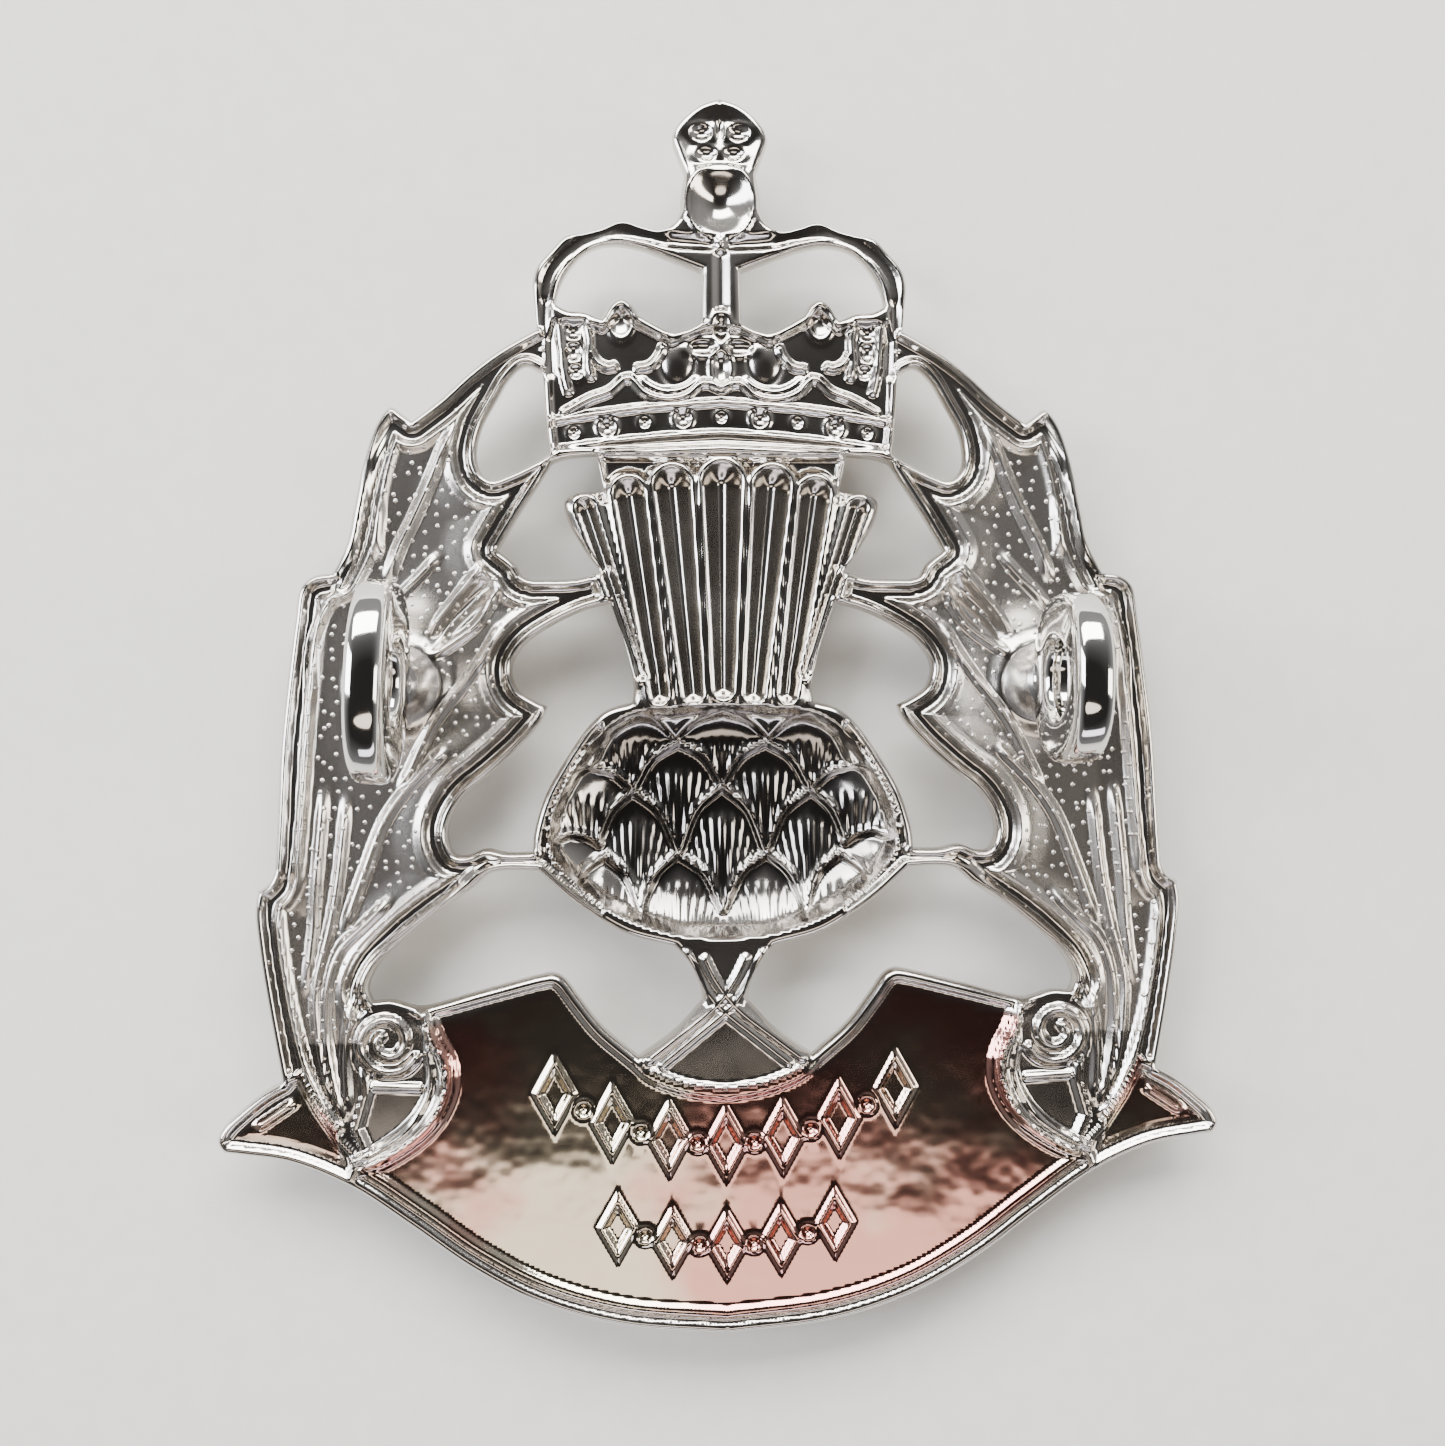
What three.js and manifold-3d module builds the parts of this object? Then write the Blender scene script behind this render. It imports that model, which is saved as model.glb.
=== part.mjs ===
// A die-struck, pierced cap badge, lying on its face with its hollow back and two brazed-on
// lugs up. Millimetres: +Z runs from the face to the back, +Y towards the crown, and the origin
// is under the middle of the badge, on the surface that it lies on.

import * as THREE from "three";
import { mergeVertices } from "three/addons/utils/BufferGeometryUtils.js";
import Module from "manifold-3d";

const wasm = await Module();
wasm.setup();

// Driving dimensions
const SHEET = 0.9; // thickness of the struck sheet
const FRONT = 2.0; // height of the sheet's face where it carries no relief
const BACK = FRONT + SHEET; // height of the flat back
const BULB_DEPTH = FRONT; // the thistle's bulb stands furthest out of the face
const ORB_DEPTH = 1.3;
const FLUTE_DEPTH = 1.0;
const CLEAR = 0.05; // gap between two pieces that touch on the real badge

const LUG = { x: 13.05, y: 1.35, height: 7.5, hole: 2.8, width: 1.8, shank: 0.8, neck: 0.8, foot: 1.0 };
const LEFT_LUG = { length: 7.6, turn: THREE.MathUtils.degToRad(-2.8) };
const RIGHT_LUG = { length: 6.5, turn: 0 };
const BRAZE = { radius: 1.7, height: 1.5, waist: 1.15 };

// Outlines: each run is a smooth line through its points, and runs meet at a corner.
const STEPS = 2; // chords per span of a smooth run

// The right half of the outer edge, from the top of the finial to the foot of the scroll.
const OUTER = [
  [[0, 25], [0.8, 24.72], [1.65, 24], [1.93, 23.4], [1.75, 22.75], [1.43, 21.95]],
  [[1.43, 21.95], [1.6, 21], [1.63, 20.4], [1.85, 20], [2.45, 19.68], [3.2, 19.82],
    [3.95, 20.03], [4.85, 19.7], [5.6, 19.5]],
  [[5.6, 19.5], [6.25, 19.4], [6.85, 18.8], [7.4, 18.15], [7.58, 17.5], [7.5, 16.6], [7.42, 15.65]],
  [[7.42, 15.65], [8.9, 14.8], [10.1, 13.9], [11.3, 12.8], [12.43, 11.93]],
  [[12.43, 11.93], [12.8, 12.2], [13.25, 12.48], [13.75, 11.95], [14.3, 10.5], [14.75, 8.4],
    [15.05, 7], [15.6, 5.85]],
  [[15.6, 5.85], [16.35, 5.72], [16.85, 5.3], [17.1, 3.9], [17.4, 1.6], [17.68, -1], [17.85, -4],
    [17.98, -6.1]],
  [[17.98, -6.1], [18.2, -6.55], [18.64, -6.85]],
  [[18.64, -6.85], [18.75, -7.6], [18.6, -9.3], [18.25, -11.6], [17.74, -14.47]],
  [[17.74, -14.47], [18.5, -14.9], [19.4, -15.62], [20.05, -16.25], [20.28, -16.8], [20.05, -17.27]],
  [[20.05, -17.27], [19.2, -17.38], [17.4, -17.7], [15.05, -18.72], [12.7, -20.33], [10.3, -22.08],
    [7.6, -23.55], [4.3, -24.55], [0, -25]],
];

// The piercings of the right half; the left half has the same ones.
const ARCH_OPENING = [
  [[0.78, 18.02], [2.05, 18.5], [3.25, 18.92], [4.4, 19.08], [5.35, 18.82], [6.05, 18.15],
    [6.5, 17.35], [6.7, 16.68]],
  [[6.7, 16.68], [6.2, 16.42], [5.5, 16.35], [4.82, 16.08]],
  [[4.82, 16.08], [4.42, 16.7], [4, 16.92], [3.62, 16.7], [3.33, 16.25]],
  [[3.33, 16.25], [2.6, 15.83], [1.95, 15.55], [1.45, 15.66], [0.82, 15.97]],
  [[0.82, 15.97], [0.78, 18.02]],
];
const LEAF_TOP_OPENING = [
  [[7.21, 13.9], [7.12, 12.4], [6.95, 10.62]],
  [[6.95, 10.62], [7.7, 10.2], [8.6, 9.78], [9.25, 9.58], [9.68, 9.85], [9.88, 10.5], [9.68, 11.6],
    [9.05, 12.8], [8.5, 13.7], [7.9, 14.17], [7.21, 13.9]],
];
const UPPER_OPENING = [
  [[6.87, 10.24], [6.3, 10.45], [5.06, 10.58]],
  [[5.06, 10.58], [4.76, 9.08]],
  [[4.76, 9.08], [5.3, 9.08], [5.95, 9.04], [6.37, 8.7], [6.3, 8.1], [5.6, 6.8], [4.94, 5.88]],
  [[4.94, 5.88], [5.8, 5.62], [7.6, 5.56]],
  [[7.6, 5.56], [8.05, 5.7], [8.3, 6.15], [9.03, 6.75]],
  [[9.03, 6.75], [8.2, 8.15], [7.4, 9.4], [6.87, 10.24]],
];
const MIDDLE_OPENING = [
  [[4.55, 4.6], [5.6, 4.33], [6.9, 3.72], [8, 2.95], [8.5, 2.05], [8.3, 1.2], [7.7, 0.75], [7.1, 0.45]],
  [[7.1, 0.45], [7.3, -0.1], [8.2, -1.15], [9.5, -2.32], [10.4, -3.05], [11, -4], [11.12, -4.8],
    [10.85, -5.45], [10.3, -5.5], [9.6, -5.25], [8.8, -5.4], [7.72, -5.4]],
  [[7.72, -5.4], [7.64, -4.6], [7.2, -3.15], [6.3, -1.55], [5.4, -0.3], [4.7, 0.3], [3.68, 0.6]],
  [[3.68, 0.6], [3.62, 1.1], [3.85, 2.5], [4.55, 4.6]],
];
const LOWER_OPENING = [
  [[7.5, -6.16], [8.8, -6.12], [9.45, -6.25], [10.2, -6.88], [11.6, -7.8], [13, -8.93], [14, -10],
    [14.32, -10.85], [14.15, -11.34]],
  [[14.15, -11.34], [13.4, -11.3], [12.75, -11.48], [12.2, -11.57], [9.6, -10.9], [7.3, -10.33],
    [6.9, -10.3], [6.5, -10.5], [5.86, -11.35], [4.95, -12.5], [3.54, -13.73]],
  [[3.54, -13.73], [2.1, -12.72], [0.92, -11.5]],
  [[0.92, -11.5], [1, -10.95], [1.4, -10], [2.02, -9.28]],
  [[2.02, -9.28], [3.83, -8.8], [5.03, -8.15], [6.3, -7.25], [7.5, -6.16]],
];
const PIERCINGS = [ARCH_OPENING, LEAF_TOP_OPENING, UPPER_OPENING, MIDDLE_OPENING, LOWER_OPENING];

// The bulb's rim, a little inside its outline.
const BULB_RIM = [
  [0, -8.85], [2.3, -8.65], [4.3, -7.9], [6, -6.7], [7.05, -5.3], [7, -4.2], [6.35, -2.6],
  [5.2, -0.9], [3.9, 0.05], [2, 0.35], [0, 0.5],
];

// Struck lines on the right half: a path and the radius of its round-bottomed groove.
const LINES = [
  { path: [[1.75, 19.1], [2.9, 19.36], [4.3, 19.5], [5.7, 18.95], [6.7, 17.9], [7, 16.6]], radius: 0.3 },
  { path: [[0, 18.9], [0, 16.1]], radius: 0.35 },
  { path: [[0, 13.25], [0.75, 13.5], [1.4, 13.05], [2.4, 12.9], [3.77, 13.72], [4.9, 12.9], [6, 13.1]],
    radius: 0.22 },
  { path: [[0, 12.6], [2.9, 12.36], [6.7, 11.8]], radius: 0.22 },
  { path: [[0, 11.15], [3, 11], [6.55, 10.82]], radius: 0.26 },
  { path: [[10.56, 11.93], [11.7, 9.5], [12.65, 7.4], [13.2, 6.1]], radius: 0.25 },
  { path: [[13.35, 11.4], [14.15, 9.3], [14.75, 6.6]], radius: 0.25 },
  { path: [[9.25, 5.6], [10.2, 4.6], [11.9, 2.9]], radius: 0.42 },
  { path: [[8.8, 3.9], [10.2, 1.7], [11.8, -0.8], [12.9, -2.8], [13.6, -4.1], [14.5, -6.4],
    [15.3, -8.6]], radius: 0.25 },
  { path: [[16.35, 4.6], [16.6, 1], [16.9, -3], [17.3, -7], [17.3, -11], [16.6, -14.2]], radius: 0.25 },
  { path: [[15.05, -2.8], [15.5, -7], [16.2, -10], [16.35, -12.4], [15.9, -15.2]], radius: 0.25 },
  { path: [[18.9, -16.7], [16.9, -17.2], [14.8, -18.2], [12.4, -19.85], [10, -21.5], [7.3, -22.9],
    [4.2, -23.9], [0, -24.35]], radius: 0.3 },
  { path: [[0, -15], [1.6, -14.75], [3, -14.25]], radius: 0.22 },
  { path: [[12.1, -12], [11.35, -13.1], [11.15, -14.4], [11.5, -15.6], [12.4, -16.7], [13.8, -17.5]],
    radius: 0.3 },
];
// Each stem leaves the bulb, crosses the other on the middle line and ends on the scroll.
const STEM = { path: [[-1.35, -9.4], [-0.75, -10.6], [0.1, -11.7], [1.7, -12.9], [3.1, -14]], radius: 0.3 };

// Five flutes of the thistle's head, from the middle outwards, then its side petal.
const FLUTES = [
  { top: [0, 10.1], bottom: [0, 0.95], wide: 0.8, narrow: 0.45 },
  { top: [2, 9.9], bottom: [1.15, 0.9], wide: 0.8, narrow: 0.45 },
  { top: [3.75, 9.35], bottom: [2.3, 1], wide: 0.75, narrow: 0.42 },
  { top: [5.5, 8.4], bottom: [3.3, 1.7], wide: 0.5, narrow: 0.28 },
];

// Pearls and lobes on the right half: [x, y, half width, half height, depth].
const BOSSES = [
  [0, 20.75, 1.13, 1.35, ORB_DEPTH],
  [0.85, 23.55, 0.55, 0.45, 0.6],
  [0.95, 14.95, 0.62, 0.3, 0.5],
  [0, 15.75, 0.3, 0.42, 0.4],
  [0, 14.2, 0.36, 0.75, 0.5],
  [4, 16.2, 0.4, 0.55, 0.6],
  [4.75, 14.8, 0.5, 0.5, 0.6],
  [3.15, 14.8, 0.5, 0.5, 0.6],
  [5.95, 15.5, 0.28, 0.28, 0.35],
  [5.95, 14.6, 0.28, 0.36, 0.35],
  [5.85, 13.8, 0.28, 0.28, 0.35],
];
const CIRCLET = { y: 12.12, sag: 0.018 }; // the circlet sags towards its ends
const CIRCLET_PEARLS = [[0, 0.28], [1.56, 0.4], [3.1, 0.28], [4.62, 0.4], [5.95, 0.28]];
const CURL = { x: 13.5, y: -12.95, radius: 0.85, depth: 0.7 };

// Two rows of lozenges and pearls fill the scroll where such a badge carries its inscription.
const ROWS = [
  { y: -17.3, rise: 0.045, pitch: 2.3, count: 7, half: [0.72, 1.3], depth: 0.5, pearl: 0.3 },
  { y: -21.4, rise: 0.04, pitch: 2.2, count: 5, half: [0.66, 1.15], depth: 0.5, pearl: 0.28 },
];

// Helpers -----------------------------------------------------------------------------------

const vec = ([x, y]) => new THREE.Vector3(x, y, 0);
const flip = ([x, y]) => [-x, y];

/** Points along smooth runs that meet at corners, without the last point of each run. */
function trace(runs) {
  return runs.flatMap((run) => {
    const curve = new THREE.CatmullRomCurve3(run.map(vec), false, "centripetal");
    return curve
      .getPoints((run.length - 1) * (run.length > 2 ? STEPS : 1))
      .slice(0, -1)
      .map((p) => [p.x, p.y]);
  });
}

/** A closed outline mirrored about x = 0, from its right half, which runs between two points there. */
function mirrored(half) {
  return [...half, ...half.slice(1, -1).reverse().map(flip)];
}

function ellipse(x, y, a, b, sides) {
  return Array.from({ length: sides }, (_, i) => {
    const t = (2 * Math.PI * i) / sides;
    return [x + a * Math.cos(t), y + b * Math.sin(t)];
  });
}

/** A straight-sided flute with round ends, wider at its top than at its bottom. */
function fluteOutline({ top, bottom, wide, narrow }) {
  const [dx, dy] = [top[0] - bottom[0], top[1] - bottom[1]];
  const lean = Math.atan2(dy, dx);
  const end = (centre, radius, from) =>
    Array.from({ length: 5 }, (_, i) => {
      const t = lean + from + (Math.PI * i) / 4;
      return [centre[0] + radius * Math.cos(t), centre[1] + radius * Math.sin(t)];
    });
  return [...end(top, wide, -Math.PI / 2), ...end(bottom, narrow, Math.PI / 2)];
}

function solid(geometry) {
  geometry.deleteAttribute("normal");
  geometry.deleteAttribute("uv");
  const merged = mergeVertices(geometry, 1e-5);
  const mesh = new wasm.Mesh({
    numProp: 3,
    vertProperties: new Float32Array(merged.attributes.position.array),
    triVerts: new Uint32Array(merged.index.array),
  });
  return new wasm.Manifold(mesh);
}

/**
 * A punch: its outline shrinks towards its middle as it goes down from z = 0 to a flat floor,
 * and a short straight collar carries it up through the surface that it strikes.
 */
function pit(outline, depth) {
  const n = outline.length;
  const rings = Math.ceil(depth / 0.5); // a deep pit needs more rings to look round
  const mid = outline.reduce(([a, b], [x, y]) => [a + x / n, b + y / n], [0, 0]);
  const floor = 0.4; // share of the outline that the flat floor takes
  const collar = 0.2;
  const levels = [[1, collar]];
  for (let k = 0; k <= rings; k++) {
    const a = (Math.PI / 2) * (k / rings);
    levels.push([floor + (1 - floor) * Math.cos(a), -depth * Math.sin(a)]);
  }
  const position = [mid[0], mid[1], collar];
  for (const [share, z] of levels) {
    for (const [x, y] of outline) {
      position.push(mid[0] + share * (x - mid[0]), mid[1] + share * (y - mid[1]), z);
    }
  }
  position.push(mid[0], mid[1], -depth);
  const index = [];
  const last = 1 + n * levels.length;
  for (let i = 0; i < n; i++) {
    const j = (i + 1) % n;
    index.push(0, 1 + i, 1 + j);
    for (let k = 0; k < levels.length - 1; k++) {
      const [a, b] = [1 + n * k, 1 + n * (k + 1)];
      index.push(a + i, b + i, b + j, a + i, b + j, a + j);
    }
    index.push(last, last - n + j, last - n + i);
  }
  const geometry = new THREE.BufferGeometry();
  geometry.setAttribute("position", new THREE.Float32BufferAttribute(position, 3));
  geometry.setIndex(index);
  return solid(geometry);
}

/** A round bar along a path, which leaves a round-bottomed groove where it is sunk by half. */
function bar({ path, radius }) {
  const curve = new THREE.CatmullRomCurve3(path.map(vec), false, "centripetal");
  const section = new THREE.Shape(ellipse(0, 0, radius, radius, 6).map(([x, y]) => new THREE.Vector2(x, y)));
  const steps = path.length > 3 ? path.length : path.length - 1;
  return solid(new THREE.ExtrudeGeometry(section, { steps, extrudePath: curve, bevelEnabled: false }));
}

function mesh(body, name, colour, roughness) {
  const { vertProperties, triVerts } = body.getMesh();
  const geometry = new THREE.BufferGeometry();
  geometry.setAttribute("position", new THREE.BufferAttribute(vertProperties, 3));
  geometry.setIndex(new THREE.BufferAttribute(triVerts, 1));
  geometry.computeVertexNormals();
  const material = new THREE.MeshStandardMaterial({ color: colour, roughness, metalness: 1 });
  const made = new THREE.Mesh(geometry, material);
  made.name = name;
  return made;
}

// The struck plate --------------------------------------------------------------------------

/** The blank: the sheet with its outer edge and its piercings. */
function blank() {
  const points = (list) => list.map(([x, y]) => new THREE.Vector2(x, y));
  const half = [...trace(OUTER), OUTER.at(-1).at(-1)];
  const shape = new THREE.Shape(points(mirrored(half)).reverse());
  for (const runs of PIERCINGS) {
    const hole = trace(runs);
    shape.holes.push(new THREE.Path(points(hole)), new THREE.Path(points(hole.map(flip))));
  }
  const sheet = new THREE.ExtrudeGeometry(shape, { depth: SHEET, bevelEnabled: false });
  return solid(sheet.translate(0, 0, FRONT));
}

/** Every punched shape, as solids whose tops lie in the plane z = 0. */
function punches() {
  const made = [pit(mirrored(BULB_RIM), BULB_DEPTH)];
  for (const [x, y, a, b, depth] of BOSSES) {
    const sides = a > 1 ? 14 : 6;
    made.push(pit(ellipse(x, y, a, b, sides), depth));
    if (x > 0) made.push(pit(ellipse(-x, y, a, b, sides), depth));
  }
  for (const [x, radius] of CIRCLET_PEARLS) {
    const y = CIRCLET.y - CIRCLET.sag * x * x;
    for (const side of x > 0 ? [1, -1] : [1]) {
      made.push(pit(ellipse(side * x, y, radius, radius, 6), radius));
    }
  }
  for (const flute of FLUTES) {
    const outline = fluteOutline(flute);
    made.push(pit(outline, FLUTE_DEPTH));
    if (flute.top[0] > 0) made.push(pit(outline.map(flip).reverse(), FLUTE_DEPTH));
  }
  for (const line of [...LINES, STEM]) {
    made.push(bar(line), bar({ ...line, path: line.path.map(flip) }));
  }
  for (const side of [1, -1]) {
    made.push(pit(ellipse(side * CURL.x, CURL.y, CURL.radius, CURL.radius, 10), CURL.depth));
  }
  for (const row of ROWS) {
    for (let i = 0; i < row.count; i++) {
      const x = (i - (row.count - 1) / 2) * row.pitch;
      const y = row.y + row.rise * x * x;
      made.push(pit(ellipse(x, y, ...row.half, 4), row.depth));
      if (i < row.count - 1) {
        const between = x + row.pitch / 2;
        const level = row.y + row.rise * between ** 2;
        made.push(pit(ellipse(between, level, row.pearl, row.pearl, 6), row.pearl));
      }
    }
  }
  return made;
}

/** The blank after the strike: each punch hollows the back and raises the face by the same amount. */
function struckPlate() {
  const tools = punches();
  let plate = blank();
  for (const tool of tools) plate = plate.add(tool.translate([0, 0, FRONT]));
  for (const tool of tools) plate = plate.subtract(tool.translate([0, 0, BACK]));
  return mesh(plate, "struck_plate", 0xd8d6cf, 0.12);
}

// Lugs and their brazing ---------------------------------------------------------------------

/** A cast lug: an eye with its hole along X, on a short shank with a round foot. */
function lug(name, side, { length, turn }) {
  const eyeHeight = LUG.height - LUG.shank;
  const outer = length / 2;
  const inner = LUG.hole / 2;
  const round = 0.35; // how far the section's corners are rounded off
  const profile = [
    [inner, -LUG.width / 2 + round], [inner + round, -LUG.width / 2], [outer - round, -LUG.width / 2],
    [outer - round / 4, -LUG.width / 2 + round], [outer, 0], [outer - round / 4, LUG.width / 2 - round],
    [outer - round, LUG.width / 2], [inner + round, LUG.width / 2], [inner, LUG.width / 2 - round],
    [inner, -LUG.width / 2 + round],
  ].map(([x, y]) => new THREE.Vector2(x, y));
  const ring = new THREE.LatheGeometry(profile, 24);
  ring.rotateZ(-Math.PI / 2);
  ring.scale(1, 1, eyeHeight / length);
  ring.translate(0, 0, LUG.shank + eyeHeight / 2);
  const rise = LUG.shank + (outer - inner) / 2; // the shank runs up into the eye
  const shank = new THREE.CylinderGeometry(LUG.neck, LUG.foot, rise, 16);
  shank.rotateX(Math.PI / 2);
  shank.translate(0, 0, rise / 2);
  const body = mesh(solid(ring).add(solid(shank)), name, 0xe0ded8, 0.08);
  body.position.set(side * LUG.x, LUG.y, BACK + CLEAR);
  body.rotation.z = turn;
  return body;
}

/** The fillet of braze that ran round the lug's foot. */
function braze(name, side) {
  const inside = LUG.foot + CLEAR;
  const profile = [
    [inside, 0], [BRAZE.radius, 0], [BRAZE.radius - 0.12, 0.18], [BRAZE.waist + 0.22, 0.6],
    [BRAZE.waist, BRAZE.height * 0.6], [inside, BRAZE.height * 0.62], [inside, 0],
  ].map(([x, y]) => new THREE.Vector2(x, y));
  const ring = new THREE.LatheGeometry(profile, 16);
  ring.rotateX(Math.PI / 2);
  const body = mesh(solid(ring), name, 0xc9c4b8, 0.25);
  body.position.set(side * LUG.x, LUG.y, BACK + CLEAR);
  return body;
}

const badge = new THREE.Group();
badge.add(struckPlate());
badge.add(lug("left_lug", -1, LEFT_LUG), braze("left_braze", -1));
badge.add(lug("right_lug", 1, RIGHT_LUG), braze("right_braze", 1));

export default badge;
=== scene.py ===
"""A die-struck, pierced cap badge in bright plating, lying on its face with its hollow back up.

Metres in Blender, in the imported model's frame; the shapes below are worked out in millimetres.
+Z runs from the face to the back, +Y towards the crown, and x = 0 is the badge's middle line.
"""

import bpy
import numpy as np
from mathutils import Matrix, Vector, geometry


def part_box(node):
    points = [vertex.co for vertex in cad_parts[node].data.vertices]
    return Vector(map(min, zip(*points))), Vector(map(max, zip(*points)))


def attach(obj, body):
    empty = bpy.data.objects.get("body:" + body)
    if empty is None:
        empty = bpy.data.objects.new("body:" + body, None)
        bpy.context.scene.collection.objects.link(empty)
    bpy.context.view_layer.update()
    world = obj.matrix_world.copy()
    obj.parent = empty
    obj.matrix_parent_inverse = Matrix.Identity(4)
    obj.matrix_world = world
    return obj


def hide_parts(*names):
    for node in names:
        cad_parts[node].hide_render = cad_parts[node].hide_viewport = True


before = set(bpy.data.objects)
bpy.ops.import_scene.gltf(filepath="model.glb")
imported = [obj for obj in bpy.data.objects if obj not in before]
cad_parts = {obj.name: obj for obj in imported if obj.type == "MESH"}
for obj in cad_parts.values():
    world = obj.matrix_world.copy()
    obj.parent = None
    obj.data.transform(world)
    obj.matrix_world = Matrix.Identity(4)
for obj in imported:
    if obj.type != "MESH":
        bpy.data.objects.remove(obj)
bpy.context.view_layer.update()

# Camera ------------------------------------------------------------------------------------
# It looks almost straight down on the badge's back, from close by, so the lugs seem to lean
# outwards. Its place is kept as a shift, a range and three small turns from the badge's own axes.

MM = 0.001
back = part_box("struck_plate")[1].z / MM  # height of the flat back, mm

CAMERA_RANGE = 59.637  # from the flat back, mm
CAMERA_SHIFT = (0.0467, 0.2553)  # of the badge's middle across the view, mm
CAMERA_TURNS = (0.1527, 2.8859, 0.366)  # about X, Y and Z, degrees; Y is applied first, then X, then Z
SENSOR = 36.0  # width, mm
FIELD = 52.14  # angle of view across the sensor, degrees
NEAREST = 0.002  # where the view begins, m

tip_x, tip_y, tip_z = np.radians(CAMERA_TURNS)
badge_to_view = Matrix.Rotation(tip_z, 3, "Z")
badge_to_view @= Matrix.Rotation(tip_x, 3, "X")
badge_to_view @= Matrix.Rotation(tip_y, 3, "Y")
view_to_badge = badge_to_view.transposed()
eye_point = view_to_badge @ Vector((-CAMERA_SHIFT[0], -CAMERA_SHIFT[1], CAMERA_RANGE))

camera_data = bpy.data.cameras.new("camera")
camera_data.sensor_width = SENSOR
camera_data.lens = SENSOR / (2 * np.tan(np.radians(FIELD) / 2))
camera_data.clip_start = NEAREST
camera = bpy.data.objects.new("camera", camera_data)
bpy.context.scene.collection.objects.link(camera)
camera.matrix_world = view_to_badge.to_4x4()
camera.location = (eye_point + Vector((0, 0, back))) * MM
bpy.context.scene.camera = camera

# Floor -------------------------------------------------------------------------------------
# A plain pale sheet of card, which the badge lies on. It is staging, and no part of the object.

FLOOR_HALF = 2000.0  # mm


def linear(code):
    """An sRGB hex colour as linear red, green, blue and full alpha."""
    srgb = np.array([int(code[i:i + 2], 16) for i in (1, 3, 5)]) / 255
    low, high = srgb / 12.92, ((srgb + 0.055) / 1.055) ** 2.4
    return (*np.where(srgb <= 0.04045, low, high).tolist(), 1.0)


def new_material(name):
    """An empty node material with its Principled shader."""
    material = bpy.data.materials.new(name)
    material.use_nodes = True
    return material, material.node_tree.nodes["Principled BSDF"]


def add(owner, kind, settings=None, **links):
    """Adds a node to a material or the world. Settings are its properties. Links are its inputs, as
    values or other sockets, each under its name, or under _3 for input number 3."""
    node = owner.node_tree.nodes.new(kind)
    for name, value in (settings or {}).items():
        setattr(node, name, value)
    for name, value in links.items():
        socket = node.inputs[int(name[1:])] if name[0] == "_" else node.inputs[name.replace("_", " ")]
        if isinstance(value, bpy.types.NodeSocket):
            owner.node_tree.links.new(value, socket)
        else:
            socket.default_value = value
    return node


def new_piece(name, corners, faces, material):
    """A smooth mesh object from an array of corners in mm and a list of faces."""
    mesh = bpy.data.meshes.new(name)
    mesh.from_pydata((np.asarray(corners) * MM).tolist(), [], faces)
    mesh.shade_smooth()
    mesh.materials.append(material)
    piece = bpy.data.objects.new(name, mesh)
    bpy.context.scene.collection.objects.link(piece)
    return piece


# Matt card, pressed smooth: pale, with a very faint mottle of its fibres.
card, card_shader = new_material("matt_card_pressed")
card_place = add(card, "ShaderNodeTexCoord").outputs["Object"]
card_mottle = add(card, "ShaderNodeTexNoise", Vector=card_place, Scale=900.0, Detail=4.0)
card_tone = add(card, "ShaderNodeMix", {"data_type": "RGBA"}, _0=card_mottle.outputs["Fac"],
                _6=linear("#D9D7D1"), _7=linear("#E4E2DD"))
card.node_tree.links.new(card_tone.outputs[2], card_shader.inputs["Base Color"])
card_shader.inputs["Roughness"].default_value = 0.85

floor_corners = [(-FLOOR_HALF, -FLOOR_HALF, 0), (FLOOR_HALF, -FLOOR_HALF, 0),
                 (FLOOR_HALF, FLOOR_HALF, 0), (-FLOOR_HALF, FLOOR_HALF, 0)]
new_piece("floor", floor_corners, [(0, 1, 2, 3)], card)

# Struck plate ------------------------------------------------------------------------------
# One sheet of brass, struck between dies, pierced, and plated bright. The strike hollows the back
# where it raises the face, so both sides come from one height map, a sheet's thickness apart.
# Lengths are in mm, and only the half with x >= 0 is worked out: the other mirrors it.

SHEET = 0.9
EDGE_ROUND = 0.28  # radius of the rounded edges
LINE_STEP = 0.16  # spacing of the points along the edges
FINE = 0.106  # spacing of the back's points where the relief is busy
CROWN_FINE = 0.074  # the same, across the crown's band
COARSE = 0.45  # spacing of the face's points
CLEAR = 0.04  # least distance from the middle line, or between the rings and the grid
HALF_WIDTH = 20.5  # how far the grid reaches
SHARP = 1.8  # curvature of the relief, per mm, above which every point stays

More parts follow.
